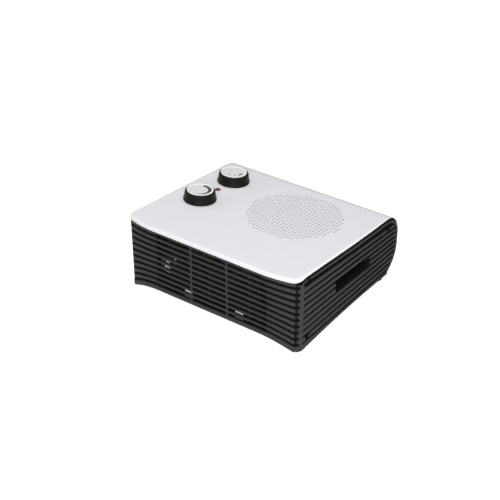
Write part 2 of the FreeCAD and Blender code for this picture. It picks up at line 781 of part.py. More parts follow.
def spindle_end():
    """Flatted end of a spindle, from its bush to the top of the hub."""
    top = KNOB_HEIGHT - CAP_HEIGHT - CAP_SINK - KNOB_WALL
    flat_r = SPINDLE_R * math.cos(math.pi / SPINDLE_SIDES)
    return many_sided(flat_r, SPINDLE_SIDES, V(0, 0, BUSH_HEIGHT), V(0, 0, top))


def spindle():
    return rod(SPINDLE_R, V(0, 0, -SPINDLE_DEPTH), V(0, 0, BUSH_HEIGHT)).fuse(spindle_end())


def spindle_bore():
    return rod(SPINDLE_R + RUN_FIT, V(0, 0, -SPINDLE_DEPTH - TURN_GAP), V(0, 0, BUSH_HEIGHT + 1))


def control_plate():
    """Mounting plate under the roof with a bush that comes up through it, and the plate's underside."""
    low = -COVER_WALL - CONTROL_PLATE
    reach = CONTROL_WIDTH / 2 + CONTROL_EAR
    plate = box(-CONTROL_LENGTH / 2, CONTROL_LENGTH / 2, -reach, reach, low, -COVER_WALL)
    return plate.fuse(many_sided(BUSH_R, BUSH_SIDES, V(0, 0, low), V(0, 0, BUSH_HEIGHT))), low


def thermostat_body():
    """Boxed thermostat with a bimetal arm that sticks out at one end."""
    plate, top = control_plate()
    half_x, half_y = CONTROL_LENGTH / 2, CONTROL_WIDTH / 2
    body = plate.fuse(box(-half_x, half_x, -half_y, half_y, top - CONTROL_DEPTH, top))
    arm_z = top - CONTROL_DEPTH * 0.6
    arm = box(half_x, half_x + CONTROL_EAR * 1.6, -half_y / 2, half_y / 2, arm_z, arm_z + 0.8)
    body = body.fuse(arm).cut(spindle_bore())
    return on_roof(body, KNOB_X, THERMOSTAT_Y)


def selector_switch():
    """Rotary switch with a row of spade terminals underneath."""
    plate, top = control_plate()
    half = CONTROL_WIDTH / 2
    low = top - SWITCH_DEPTH
    body = plate.fuse(box(-half, half, -half, half, low, top))
    for k in range(SPADES):
        x = (k - (SPADES - 1) / 2) * CONTROL_WIDTH / SPADES
        body = body.fuse(box(x - 0.4, x + 0.4, -SPADE / 2, SPADE / 2, low - SPADE, low))
    return on_roof(body.cut(spindle_bore()), KNOB_X, SELECTOR_Y)


def lamp_lens():
    """Red domed lens on a flange, hollow from below."""
    dome = [
        (LENS_FLANGE_R, 0),
        (LENS_FLANGE_R, LENS_RISE * 0.3),
        (LENS_R * 0.8, LENS_RISE * 0.75),
        (LENS_R * 0.4, LENS_RISE),
    ]
    lens = tapered(dome, LENS_SIDES).fuse(many_sided(LENS_R, LENS_SIDES, V(0, 0, -LENS_DEPTH), V(0, 0, 0)))
    hollow = many_sided(LAMP_R + SEAM, LAMP_SIDES, V(0, 0, -LENS_DEPTH), V(0, 0, 0))
    return on_roof(lens.cut(hollow), KNOB_X, LAMP_Y)


def neon_lamp():
    tip = -LAMP_R / 2
    glass = tapered([(LAMP_R, -LAMP_LENGTH), (LAMP_R, tip), (LAMP_R / 2, 0)], LAMP_SIDES)
    return on_roof(glass, KNOB_X, LAMP_Y)


# Motor

def over_fan(shape):
    return at(shape, INTAKE_X, INTAKE_Y)


def stator():
    """Laminated stack with a rotor bore and a leg for the winding."""
    stack = box(-STACK_HALF_X, STACK_HALF_X, STACK_FRONT, STACK_BACK, STACK_LOW, STACK_TOP)
    half = STACK_WINDOW_HALF
    stack = stack.cut(box(-half, half, STACK_WINDOW_FRONT, STACK_WINDOW_BACK, STACK_LOW, STACK_TOP))
    stack = stack.cut(many_sided(ROTOR_R + ROTOR_GAP, ROTOR_SIDES, V(0, 0, STACK_LOW), V(0, 0, STACK_TOP)))
    return over_fan(stack)


def stator_coil():
    build = COIL_BUILD
    half = COIL_HALF
    ring = box(-half, half, STACK_WINDOW_BACK - build, STACK_BACK + build, STACK_LOW - build, STACK_TOP + build)
    along = [e for e in ring.Edges if abs(e.lastVertex().Point.x - e.firstVertex().Point.x) > 1e-6]
    ring = ring.makeFillet(build / 2, along)
    leg = box(-half, half, STACK_WINDOW_BACK, STACK_BACK, STACK_LOW, STACK_TOP)
    return over_fan(ring.cut(leg))


def bridge():
    """Bearing bridge that stands on z = 0: two feet, two legs and a beam with a sleeve bearing."""
    span = STACK_HALF_X
    wide = BRIDGE_HALF_WIDTH
    leg = span - BRIDGE_FOOT
    beam = box(-span, span, -wide, wide, 0, BRIDGE_RISE)
    beam = beam.cut(box(-leg, leg, -wide, wide, 0, BRIDGE_RISE - BRIDGE_WALL))
    for side in (-1, 1):
        edge, inner = side * span, side * (leg + BRIDGE_WALL)
        beam = beam.cut(box(min(edge, inner), max(edge, inner), -wide, wide, BRIDGE_WALL, BRIDGE_RISE))
    sleeve = (V(0, 0, BRIDGE_RISE - BEARING_LENGTH), V(0, 0, BRIDGE_RISE))
    beam = beam.fuse(many_sided(BEARING_R, BEARING_SIDES, *sleeve))
    return beam.cut(rod(SHAFT_R + RUN_FIT, *sleeve))


def flipped(shape):
    return shape.mirror(V(0, 0, 0), AXIS_Z)


def motor_shaft():
    return over_fan(rod(SHAFT_R, V(0, 0, SHAFT_LOW), V(0, 0, SHAFT_TOP)))


def rotor():
    body = tapered([(ROTOR_R, STACK_LOW), (ROTOR_R, STACK_TOP)], ROTOR_SIDES)
    return over_fan(body.cut(rod(SHAFT_R, V(0, 0, STACK_LOW), V(0, 0, STACK_TOP))))


def impeller():
    """Radial wheel: back plate, hub and leaning blades."""
    plate_top = WHEEL_LOW + WHEEL_PLATE
    wheel = tapered([(WHEEL_R, WHEEL_LOW), (WHEEL_R, plate_top)], WHEEL_SIDES)
    wheel = wheel.fuse(many_sided(HUB_R, HUB_SIDES, V(0, 0, WHEEL_LOW), V(0, 0, HUB_TOP)))
    lean = math.radians(BLADE_LEAN)
    outer_r = WHEEL_R - BLADE_WALL
    cross = WHEEL_EYE_R * math.cos(lean)
    length = math.sqrt(outer_r ** 2 - WHEEL_EYE_R ** 2 + cross ** 2) - cross
    blade = box(0, length, -BLADE_WALL / 2, BLADE_WALL / 2, WHEEL_LOW, BLADE_TOP)
    blade.rotate(V(0, 0, 0), AXIS_Z, BLADE_LEAN)
    blade = at(blade, WHEEL_EYE_R, 0)
    for k in range(BLADES):
        copy = blade.copy()
        copy.rotate(V(0, 0, 0), AXIS_Z, 360.0 * k / BLADES)
        wheel = wheel.fuse(copy)
    wheel = wheel.cut(rod(SHAFT_R, V(0, 0, WHEEL_LOW), V(0, 0, HUB_TOP)))
    return over_fan(wheel.removeSplitter())


# Air path

def scroll_face(wall):
    """Outline of the scroll drawn in by a wall, with its mouth on the duct."""
    centre = V(INTAKE_X, INTAKE_Y, 0)

    def around(angle, radius):
        turn = math.radians(angle)
        return centre + V(math.cos(turn), math.sin(turn), 0) * (radius - wall)

    mouth_y = DUCT_BACK + DUCT_WALL + SEAM
    left_mouth = V(WINDOW_LEFT - DUCT_MARGIN + wall, mouth_y, 0)
    right_mouth = V(WINDOW_RIGHT + DUCT_MARGIN - wall, mouth_y, 0)
    tongue = around(TONGUE_ANGLE, SCROLL_TONGUE_R)
    left = around(180, SCROLL_LEFT_R)
    back = around(90, SCROLL_BACK_R)
    right = around(0, SCROLL_RIGHT_R)
    half_left = around((TONGUE_ANGLE - 180) / 2, (SCROLL_TONGUE_R + SCROLL_LEFT_R) / 2)
    edges = [
        line(left_mouth, tongue),
        arc(tongue, half_left, left),
        arc(left, around(135, (SCROLL_LEFT_R + SCROLL_BACK_R) / 2), back),
        arc(back, around(45, (SCROLL_BACK_R + SCROLL_RIGHT_R) / 2), right),
        line(right, right_mouth),
        line(right_mouth, left_mouth),
    ]
    return edges


def fan_scroll():
    outer = at(edges_prism(scroll_face(0.0), AXIS_Z * FAR), 0, 0, DECK_LOW)
    inner = at(edges_prism(scroll_face(SCROLL_WALL), AXIS_Z * FAR), 0, 0, DECK_LOW + DECK_WALL)
    mouth_y = DUCT_BACK + DUCT_WALL + SEAM
    left, right = WINDOW_LEFT - DUCT_MARGIN + SCROLL_WALL, WINDOW_RIGHT + DUCT_MARGIN - SCROLL_WALL
    doorway = box(left, right, mouth_y - 1, mouth_y + SCROLL_WALL, DECK_LOW + DECK_WALL, FAR)
    seat_low = COVER_WALL + INTAKE_FLANGE_WALL + SEAM
    scroll = outer.common(profile(seat_low)).cut(inner).cut(doorway)
    scroll = scroll.cut(over_fan(rod(DECK_HOLE_R, V(0, 0, 0), V(0, 0, DECK_LOW + DECK_WALL))))
    legs = [(INTAKE_X + x, INTAKE_Y + y) for x, y in FAN_LEGS]
    legs.append((WINDOW_LEFT + MOUTH_LEG_LEFT[0], DUCT_BACK + MOUTH_LEG_LEFT[1]))
    legs.append((WINDOW_RIGHT - MOUTH_LEG_RIGHT[0], DUCT_BACK + MOUTH_LEG_RIGHT[1]))
    half = DECK_LEG / 2
    for x, y in legs:
        scroll = scroll.fuse(box(x - half, x + half, y - half, y + half, BASE_TOP, DECK_LOW))
    return scroll.removeSplitter()


def duct_sides():
    """Inner left, right and front of the duct."""
    front = SKIRT_FRONT + SLAT_DEPTH + DUCT_FRONT_GAP
    return WINDOW_LEFT - DUCT_MARGIN, WINDOW_RIGHT + DUCT_MARGIN, front


def heat_duct():
    """Sheet metal box, open to the outlet in front and to the scroll above the deck."""
    left, right, front = duct_sides()
    wall = DUCT_WALL
    duct = box(left - wall, right + wall, front, DUCT_BACK + wall, BASE_TOP, DUCT_TOP)
    duct = duct.cut(box(left, right, front, DUCT_BACK, BASE_TOP + wall, DUCT_TOP - wall))
    return duct.cut(box(left, right, DUCT_BACK, DUCT_BACK + wall, DECK_LOW + DECK_WALL, DUCT_TOP - wall))


def board_places():
    left, right, _ = duct_sides()
    first, last = left + RAIL_MARGIN + BOARD_WALL, right - RAIL_MARGIN - BOARD_WALL
    return [first + k * (last - first) / (BOARD_COUNT - 1) for k in range(BOARD_COUNT)]


def ribbon_rows():
    step = (RAIL_TOP - RAIL_LOW - RAIL_WALL) / RIBBON_ROWS
    return [RAIL_LOW + RAIL_WALL + (k + 0.5) * step for k in range(RIBBON_ROWS)]


def mica_boards():
    """Upright boards with one window for each heating ribbon."""
    reach = RIBBON_AMPLITUDE + RIBBON_WALL + SEAM
    low = RAIL_LOW + RAIL_WALL
    half = BOARD_WALL / 2
    shapes = []
    for x in board_places():
        board = box(x - half, x + half, BOARD_FRONT, BOARD_BACK, low, RAIL_TOP)
        for z in ribbon_rows():
            back = RIBBON_FRONT + RIBBON_WIDTH + SEAM
            board = board.cut(box(x - 1, x + 1, RIBBON_FRONT - SEAM, back, z - reach, z + reach))
        shapes.append(board)
    return Part.makeCompound(shapes)


def element_rails():
    """Steel strips above and below the boards, with tabs to the duct's floor and ceiling."""
    left, right, _ = duct_sides()
    x0, x1 = left + RAIL_MARGIN, right - RAIL_MARGIN
    low = box(x0, x1, BOARD_FRONT, BOARD_BACK, RAIL_LOW, RAIL_LOW + RAIL_WALL)
    top = box(x0, x1, BOARD_FRONT, BOARD_BACK, RAIL_TOP, RAIL_TOP + RAIL_WALL)
    for x in RAIL_TAB_X:
        tab = (x - RAIL_TAB / 2, x + RAIL_TAB / 2, BOARD_FRONT, BOARD_FRONT + RAIL_WALL)
        low = low.fuse(box(*tab, BASE_TOP + DUCT_WALL, RAIL_LOW))
        top = top.fuse(box(*tab, RAIL_TOP + RAIL_WALL, DUCT_TOP - DUCT_WALL))
    return Part.makeCompound([low, top])


def heating_ribbons():
    """Folded resistance ribbon, one length for each row."""
    places = board_places()
    first, last = places[0] + BOARD_WALL, places[-1] - BOARD_WALL
    step = (last - first) / RIBBON_FOLDS
    shapes = []
    for z in ribbon_rows():
        upper = []
        lower = []
        for k in range(RIBBON_FOLDS + 1):
            swing = RIBBON_AMPLITUDE if k % 2 else -RIBBON_AMPLITUDE
            upper.append(V(first + k * step, RIBBON_FRONT, z + swing + RIBBON_WALL / 2))
            lower.append(V(first + k * step, RIBBON_FRONT, z + swing - RIBBON_WALL / 2))
        shapes.append(prism(upper + lower[::-1], AXIS_Y * RIBBON_WIDTH))
    return Part.makeCompound(shapes)


def thermal_cutout():
    """Disc cut-out on the left-hand board with two blades."""
    x = board_places()[0] - BOARD_WALL / 2
    y = BOARD_FRONT + CUTOUT_R * 0.5
    body = many_sided(CUTOUT_R, CUTOUT_SIDES, V(x - CUTOUT_LENGTH, y, CUTOUT_Z), V(x, y, CUTOUT_Z))
    for side in (-1, 1):
        z = CUTOUT_Z + side * CUTOUT_R * 0.5
        body = body.fuse(box(x - CUTOUT_LENGTH - 1.5, x - CUTOUT_LENGTH, y - 2, y + 2, z - 0.4, z + 0.4))
    return body


def thermal_fuse():
    """Axial fuse that lies on the upper rail."""
    x = RAIL_TAB_X[0] + RAIL_TAB
    y = (BOARD_FRONT + BOARD_BACK) / 2
    z = RAIL_TOP + RAIL_WALL + FUSE_R
    return many_sided(FUSE_R, FUSE_SIDES, V(x, y, z), V(x + FUSE_LENGTH, y, z))


# Mains terminals and cord inlet

def terminal_block():
    """Row of terminals with a slit between neighbours, a screw shaft and a wire mouth in each."""
    half_x, half_y = TERMINAL_LENGTH / 2, TERMINAL_WIDTH / 2
    top = BASE_TOP + TERMINAL_HEIGHT
    block = at(box(-half_x, half_x, -half_y, half_y, BASE_TOP, top), TERMINAL_X, TERMINAL_Y)
    half = TERMINAL_SHAFT / 2
    pitch = TERMINAL_LENGTH / TERMINAL_WAYS
    mouth_z = BASE_TOP + TERMINAL_HEIGHT * 0.45
    for k in range(TERMINAL_WAYS):
        x = TERMINAL_X + (k - (TERMINAL_WAYS - 1) / 2) * pitch
        block = block.cut(box(x - half, x + half, TERMINAL_Y - half, TERMINAL_Y + half, mouth_z, top))
        block = block.cut(box(x - half, x + half, -FAR, TERMINAL_Y - half, mouth_z - half, mouth_z + half))
        if k:
            edge = x - pitch / 2
            block = block.cut(box(edge - 0.6, edge + 0.6, -FAR, FAR, mouth_z, top))
    return block


def gland_box(half, y0, y1):
    return box(GLAND_X - half, GLAND_X + half, y0, y1, GLAND_Z - half, GLAND_Z + half)


def cord_gland():
    """Square gland with a flange let into the back, a collar inside and a bore for a cord."""
    start = COVER_BACK - GLAND_LENGTH
    wide = GLAND_HALF + GLAND_FLANGE
    body = gland_box(GLAND_HALF, start, COVER_BACK)
    body = body.fuse(gland_box(wide, COVER_BACK - GLAND_FLANGE_WALL, COVER_BACK))
    body = body.fuse(gland_box(wide, start, COVER_BACK - COVER_WALL))
    bore = many_sided(GLAND_BORE_R, GLAND_SIDES, V(GLAND_X, start, GLAND_Z), V(GLAND_X, COVER_BACK, GLAND_Z))
    return body.cut(bore)


NODES = {
    "top_cover": top_cover,
    "intake_grille": intake_grille,
    "front_grille": front_grille,
    "base_tray": base_tray,
    "rubber_feet": rubber_feet,
    "side_screws": side_screws,
    "cover_screws": cover_screws,
    "thermostat_body": thermostat_body,
    "selector_switch": selector_switch,
    "lamp_lens": lamp_lens,
    "neon_lamp": neon_lamp,
    "stator": stator,
    "stator_coil": stator_coil,
    "motor_shaft": motor_shaft,
    "rotor": rotor,
    "impeller": impeller,
    "fan_scroll": fan_scroll,
    "heat_duct": heat_duct,
    "mica_boards": mica_boards,
    "element_rails": element_rails,
    "heating_ribbons": heating_ribbons,
    "thermal_cutout": thermal_cutout,
    "thermal_fuse": thermal_fuse,
    "terminal_block": terminal_block,
    "cord_gland": cord_gland,
}

shapes = {name: make() for name, make in NODES.items()}
shapes["side_panel_right"] = side_panel()
shapes["side_panel_left"] = mirrored(shapes["side_panel_right"])
shapes["bearing_bridge_upper"] = over_fan(at(bridge(), 0, 0, STACK_TOP))
shapes["bearing_bridge_lower"] = over_fan(at(flipped(bridge()), 0, 0, STACK_LOW))
for control, y in (("thermostat", THERMOSTAT_Y), ("selector", SELECTOR_Y)):
    for piece, make in (("knob", knob), ("cap", cap), ("spindle", spindle)):
        shapes[f"{control}_{piece}"] = on_roof(make(), KNOB_X, y)

os.makedirs("parts", exist_ok=True)
for name, shape in shapes.items():
    shape.exportStep(f"parts/{name}.step")
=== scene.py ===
import math
import bpy
from mathutils import Matrix, Vector


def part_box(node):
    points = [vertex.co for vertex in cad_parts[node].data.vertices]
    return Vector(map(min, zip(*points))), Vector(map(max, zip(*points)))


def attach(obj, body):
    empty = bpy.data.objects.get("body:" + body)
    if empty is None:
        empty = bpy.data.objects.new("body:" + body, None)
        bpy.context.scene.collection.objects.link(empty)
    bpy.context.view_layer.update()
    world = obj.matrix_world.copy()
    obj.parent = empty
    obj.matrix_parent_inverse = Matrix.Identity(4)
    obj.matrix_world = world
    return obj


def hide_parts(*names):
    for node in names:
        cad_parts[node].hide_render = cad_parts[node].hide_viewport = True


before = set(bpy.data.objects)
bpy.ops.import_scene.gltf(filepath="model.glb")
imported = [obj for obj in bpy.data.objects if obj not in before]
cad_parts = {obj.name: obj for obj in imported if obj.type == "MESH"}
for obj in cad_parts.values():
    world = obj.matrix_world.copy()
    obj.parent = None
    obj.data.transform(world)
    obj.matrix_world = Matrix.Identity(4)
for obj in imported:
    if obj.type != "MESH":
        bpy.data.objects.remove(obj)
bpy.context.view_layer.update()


# Bottom tray
# The floor of the heater, with its posts and foot blocks. A plain black plastic moulding,
# with the tool's faint flow marks, that every other piece is screwed to.

class Paint:
    """One value in a finish's node tree. Sums on it add Math nodes."""

    def __init__(self, tree, socket=None):
        self.tree = tree
        self.socket = socket

    def node(self, kind, settings, inputs, output=0):
        """Adds a node: its settings first, then the values or links of its sockets."""
        made = self.tree.nodes.new(kind)
        for name, value in settings.items():
            setattr(made, name, value)
        for name, value in inputs.items():
            if isinstance(value, Paint):
                self.tree.links.new(value.socket, made.inputs[name])
            else:
                made.inputs[name].default_value = value
        return Paint(self.tree, made.outputs[output])

    def maths(self, operation, first, second=0.0):
        return self.node("ShaderNodeMath", {"operation": operation}, {0: first, 1: second})

    def __add__(self, other):
        return self.maths("ADD", self, other)

    def __radd__(self, other):
        return self.maths("ADD", other, self)

    def __sub__(self, other):
        return self.maths("SUBTRACT", self, other)

    def __rsub__(self, other):
        return self.maths("SUBTRACT", other, self)

    def __mul__(self, other):
        return self.maths("MULTIPLY", self, other)

    def __rmul__(self, other):
        return self.maths("MULTIPLY", other, self)

    def __lt__(self, other):
        return self.maths("LESS_THAN", self, other)

    def __gt__(self, other):
        return self.maths("GREATER_THAN", self, other)

    def to(self, shader, socket):
        self.tree.links.new(self.socket, shader.inputs[socket])


def new_finish(name):
    """A bare material, its shader, and a start for its node sums."""
    material = bpy.data.materials.new(name)
    material.use_nodes = True
    return material, material.node_tree.nodes["Principled BSDF"], Paint(material.node_tree)


def own_place(paint):
    return paint.node("ShaderNodeTexCoord", {}, {}, "Object")


def grain(paint, size, detail=2.0, squeeze=(1.0, 1.0, 1.0)):
    """Noise whose lumps are about this size in metres, squeezed along an axis by a factor over 1."""
    placed = paint.node("ShaderNodeMapping", {}, {"Vector": own_place(paint), "Scale": squeeze})
    lumps = {"Vector": placed, "Scale": 1.0 / size, "Detail": detail}
    return paint.node("ShaderNodeTexNoise", {}, lumps, "Fac")


def clouds(paint):
    """The slow drift of colour and gloss over a moulding."""
    return grain(paint, 0.045, 3.0)


def two_tone(paint, share, low, high):
    """Mixes two colours, each given as three values or as a mix made before."""
    low, high = [tone if isinstance(tone, Paint) else (*tone, 1) for tone in (low, high)]
    return paint.node("ShaderNodeMix", {"data_type": "RGBA"}, {0: share, 6: low, 7: high}, 2)


def relief(paint, shader, height, depth):
    bump = paint.node("ShaderNodeBump", {}, {"Height": height, "Distance": depth, "Strength": 1.0})
    bump.to(shader, "Normal")


def plastic(name, colour, rough, pimple=0.0006, depth=0.00003, drift=0.06, shine=0.5):
    """Moulded plastic: a colour that drifts a little, and an eroded grain that breaks up the gloss."""
    material, shader, paint = new_finish(name)
    cloudy = clouds(paint)
    low = [c * (1 - drift) for c in colour]
    high = [min(1.0, c * (1 + drift)) for c in colour]
    two_tone(paint, cloudy, low, high).to(shader, "Base Color")
    fine = grain(paint, pimple)
    (rough[0] + (rough[1] - rough[0]) * (0.6 * fine + 0.4 * cloudy)).to(shader, "Roughness")
    relief(paint, shader, fine, depth)
    shader.inputs["Specular IOR Level"].default_value = shine
    return material


def dress(material, *names):
    """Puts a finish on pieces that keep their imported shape."""
    for name in names:
        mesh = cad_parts[name].data
        mesh.materials.clear()
        mesh.materials.append(material)


dress(plastic("tray_black", (0.032, 0.031, 0.033), rough=(0.48, 0.68)), "base_tray")


# Rubber feet
# Four bevelled pads of black rubber with a small dimple, pressed on under the foot blocks,
# a little dusty from the floor.

PAD_R = 0.0055
PAD_HEIGHT = 0.0034
PAD_BEVEL = 0.0008
PAD_SOFT = 0.0003
DIMPLE = 0.0006
DIMPLE_R = 0.0024
DIMPLE_FLOOR_R = 0.0018
DIMPLE_SOFT = 0.0002
DUSTY_RUBBER = ((0.016, 0.016, 0.017), (0.05, 0.049, 0.048))
PAD_PLACES = ((0.094, -0.086), (-0.094, -0.086), (0.1125, 0.0778), (-0.1125, 0.0778))


def steps(start, end, count):
    return [start + (end - start) * k / count for k in range(count + 1)]


def filleted(corners, arc_steps=5):
    """Closed outline through corners of (across, up, radius), each rounded by its radius."""
    points = []
    for k, (across, up, radius) in enumerate(corners):
        here = Vector((across, up))
        if not radius:
            points.append(here)
            continue
        before = (Vector(corners[k - 1][:2]) - here).normalized()
        after = (Vector(corners[(k + 1) % len(corners)][:2]) - here).normalized()
        half = before.angle(after) / 2
        middle = here + (before + after).normalized() * (radius / math.sin(half))
        start = here + before * (radius / math.tan(half)) - middle
        end = here + after * (radius / math.tan(half)) - middle
        turn = math.atan2(start.x * end.y - start.y * end.x, start.dot(end))
        points += [middle + Matrix.Rotation(turn * t, 2) @ start for t in steps(0, 1, arc_steps)]
    return points


def face_outwards():
    """Turns all faces of the active piece outwards and leaves edit mode."""
    bpy.ops.object.mode_set(mode="EDIT")
    bpy.ops.mesh.select_all(action="SELECT")
    bpy.ops.mesh.normals_make_consistent(inside=False)
    bpy.ops.object.mode_set(mode="OBJECT")


def drawn(name, points, fill):
    """A closed outline through points, empty or filled with one face."""
    bpy.ops.object.select_all(action="DESELECT")
    bpy.ops.mesh.primitive_circle_add(vertices=len(points), radius=1.0, fill_type=fill)
    piece = bpy.context.object
    piece.name = name
    for vertex, point in zip(piece.data.vertices, points):
        vertex.co = point
    return piece


def turned(name, outline, sides):
    """A turned solid: a closed half outline of (radius, height) points spun about the upright axis."""
    piece = drawn(name, [(radius, 0, height) for radius, height in outline], "NOTHING")
    modifier = piece.modifiers.new("turn", "SCREW")
    modifier.steps = sides
    modifier.render_steps = sides
    modifier.use_merge_vertices = True
    modifier.merge_threshold = 0.000001
    bpy.ops.object.modifier_apply(modifier=modifier.name)
    bpy.ops.object.mode_set(mode="EDIT")
    bpy.ops.mesh.select_all(action="SELECT")
    bpy.ops.mesh.remove_doubles(threshold=0.000002)
    bpy.ops.mesh.delete_loose(use_verts=True, use_edges=True, use_faces=False)
    face_outwards()
    return piece


def set_of(name, piece, places):
    """Copies of one finished piece at several places, joined to one object; the pattern is used up."""
    bpy.ops.object.select_all(action="DESELECT")
    for place in places:
        twin = bpy.data.objects.new(name, piece.data.copy())
        twin.data.transform(place)
        bpy.context.scene.collection.objects.link(twin)
        twin.select_set(True)
    bpy.context.view_layer.objects.active = twin
    bpy.data.objects.remove(piece)
    bpy.ops.object.join()
    twin.name = name
    return twin


def pick(piece):
    """Makes a piece the only one selected, and the active one."""
    bpy.ops.object.select_all(action="DESELECT")
    bpy.context.view_layer.objects.active = piece
    piece.select_set(True)


def soften(piece, angle, weighted=True):
    """Smooth shading up to an angle, with flat faces kept flat."""
    pick(piece)
    bpy.ops.object.shade_smooth_by_angle(angle=math.radians(angle))
    if weighted:
        modifier = piece.modifiers.new("flat faces", "WEIGHTED_NORMAL")
        modifier.keep_sharp = True
        modifier.weight = 60
        bpy.ops.object.modifier_apply(modifier=modifier.name)


def hand_over(piece, body, slot, material, *nodes):
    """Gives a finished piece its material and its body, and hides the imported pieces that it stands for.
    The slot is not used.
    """
    piece.data.materials.clear()
    piece.data.materials.append(material)
    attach(piece, body)
    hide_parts(*nodes)


pad = turned("pad", filleted([
    (0, DIMPLE, 0),
    (DIMPLE_FLOOR_R, DIMPLE, DIMPLE_SOFT),
    (DIMPLE_R, 0, DIMPLE_SOFT),
    (PAD_R - PAD_BEVEL, 0, PAD_SOFT),
    (PAD_R, PAD_BEVEL, PAD_SOFT),
    (PAD_R, PAD_HEIGHT, 0),
    (0, PAD_HEIGHT, 0),
], 3), 48)
feet = set_of("foot_pads", pad, [Matrix.Translation((x, y, 0)) for x, y in PAD_PLACES])
soften(feet, 35)
material, shader, paint = new_finish("foot_rubber")
dust = grain(paint, 0.004, 4.0)
two_tone(paint, dust, *DUSTY_RUBBER).to(shader, "Base Color")
(0.75 + 0.2 * dust).to(shader, "Roughness")
relief(paint, shader, grain(paint, 0.0008), 0.00006)
hand_over(feet, "casing", "foot_rubber", material, "rubber_feet")


# Motor
# A shaded-pole motor: stamped steel stack, enamelled copper winding, die-cast bearing bridges,
# and an aluminium cage rotor on a ground steel shaft. It stands on the tray's pillars.

def metal(name, colour, rough, mark, depth=0.00002, squeeze=(1, 1, 1)):
    """Bare metal with marks of a size, squeezed along one axis by the tool that made it."""
    material, shader, paint = new_finish(name)
    marks = grain(paint, mark, 4.0, squeeze)
    two_tone(paint, marks, [c * 0.82 for c in colour], colour).to(shader, "Base Color")
    (rough[0] + (rough[1] - rough[0]) * marks).to(shader, "Roughness")
    relief(paint, shader, marks, depth)
    shader.inputs["Metallic"].default_value = 1.0
    return material


def layered(name, low, high, pitch, rough):
    """Stacked sheets or wound wire: level lines at a pitch. At a scale of 1 a wave's pitch is pi / 10."""
    material, shader, paint = new_finish(name)
    lines = paint.node(
        "ShaderNodeTexWave",
        {"wave_type": "BANDS", "bands_direction": "Z"},
        {"Vector": own_place(paint), "Scale": math.pi / 10 / pitch, "Distortion": 0.4, "Detail": 1.0},
        "Fac",
    )
    two_tone(paint, lines, low, high).to(shader, "Base Color")
    (rough + 0.15 * grain(paint, 0.003)).to(shader, "Roughness")
    relief(paint, shader, lines, 0.0001)
    shader.inputs["Metallic"].default_value = 1.0
    return material


stack_steel = layered("stack_steel", (0.16, 0.16, 0.17), (0.4, 0.41, 0.43), pitch=0.0005, rough=0.4)
dress(stack_steel, "stator")
coil_copper = layered("coil_copper", (0.2, 0.07, 0.03), (0.62, 0.27, 0.12), pitch=0.0004, rough=0.3)
dress(coil_copper, "stator_coil")
bridge_alloy = metal("bridge_alloy", (0.62, 0.62, 0.63), rough=(0.38, 0.6), mark=0.0012, depth=0.00006)
dress(bridge_alloy, "bearing_bridge_upper", "bearing_bridge_lower")
shaft_steel = metal("shaft_steel", (0.6, 0.6, 0.61), (0.16, 0.32), 0.002, 0.00001, squeeze=(1, 1, 12))
dress(shaft_steel, "motor_shaft")
rotor_alloy = metal("rotor_alloy", (0.55, 0.55, 0.56), (0.25, 0.45), 0.003, squeeze=(1, 1, 14))
dress(rotor_alloy, "rotor")


# Fan wheel and scroll
# A one-piece moulded blower wheel pressed on the shaft, turning in a black moulded scroll
# that stands on its own legs and leads the air into the duct.

dress(plastic("wheel_plastic", (0.06, 0.06, 0.065), rough=(0.4, 0.58), pimple=0.0007), "impeller")
dress(plastic("scroll_plastic", (0.045, 0.045, 0.048), rough=(0.45, 0.62), pimple=0.0008), "fan_scroll")


# Heat duct and heating element
# A bent duct of galvanised sheet behind the outlet. In it stand mica boards between rails with two tabs,
# carrying folded resistance ribbon, with a pale ceramic cut-out and a small thermal fuse. The duct, the
# mica, the rails, the ribbon and the fuse are painted dark, as painted shade inside the outlet; the two tabs
# are painted bright with a glow, as a painted highlight, and the cut-out glows faintly, as painted light.

SPANGLE_SCALE = 160.0
SPANGLE_IN_SHADE = ((0.12, 0.115, 0.11), (0.22, 0.215, 0.21))
FLAKE_SCALE = 420.0
MICA_IN_SHADE = ((0.045, 0.032, 0.014), (0.11, 0.085, 0.045))
RAIL_SHADE_AND_TAB_HIGHLIGHT = ((0.05, 0.046, 0.042), (0.93, 0.93, 0.92))
RAIL_TABS = (-0.0383, 0.0336)
TAB_HALF = 0.0055
TAB_DEPTH = 0.0012
TAB_PAINTED_GLOW = (0.25, 0.25, 0.25)
CERAMIC = (0.9, 0.88, 0.84)
CERAMIC_PAINTED_GLOW = 0.14

# Painted shade: the galvanised spangle is kept dark, for the shade inside the outlet.
material, shader, paint = new_finish("duct_steel")
cells = {"Vector": own_place(paint), "Scale": SPANGLE_SCALE}
spangle = paint.node("ShaderNodeTexVoronoi", {}, cells, "Color")
tone = paint.node("ShaderNodeSeparateColor", {}, {"Color": spangle}, 0)
two_tone(paint, tone, *SPANGLE_IN_SHADE).to(shader, "Base Color")
(0.28 + 0.2 * tone).to(shader, "Roughness")
relief(paint, shader, grain(paint, 0.004), 0.00003)
shader.inputs["Metallic"].default_value = 1.0
dress(material, "heat_duct")

# Painted shade: the mica is kept dark, for the shade inside the outlet.
material, shader, paint = new_finish("mica")
cells = {"Vector": own_place(paint), "Scale": FLAKE_SCALE}
flakes = paint.node("ShaderNodeTexVoronoi", {}, cells, "Distance")
sheets = grain(paint, 0.006, 5.0, (1, 1, 3))
layers = 0.5 * flakes + 0.6 * sheets
two_tone(paint, layers, *MICA_IN_SHADE).to(shader, "Base Color")
(0.3 + 0.3 * sheets).to(shader, "Roughness")
relief(paint, shader, flakes, 0.0001)
shader.inputs["Coat Weight"].default_value = 0.3
dress(material, "mica_boards")


def coordinate(paint, place, axis):
    return paint.node("ShaderNodeSeparateXYZ", {}, {"Vector": place}, axis)


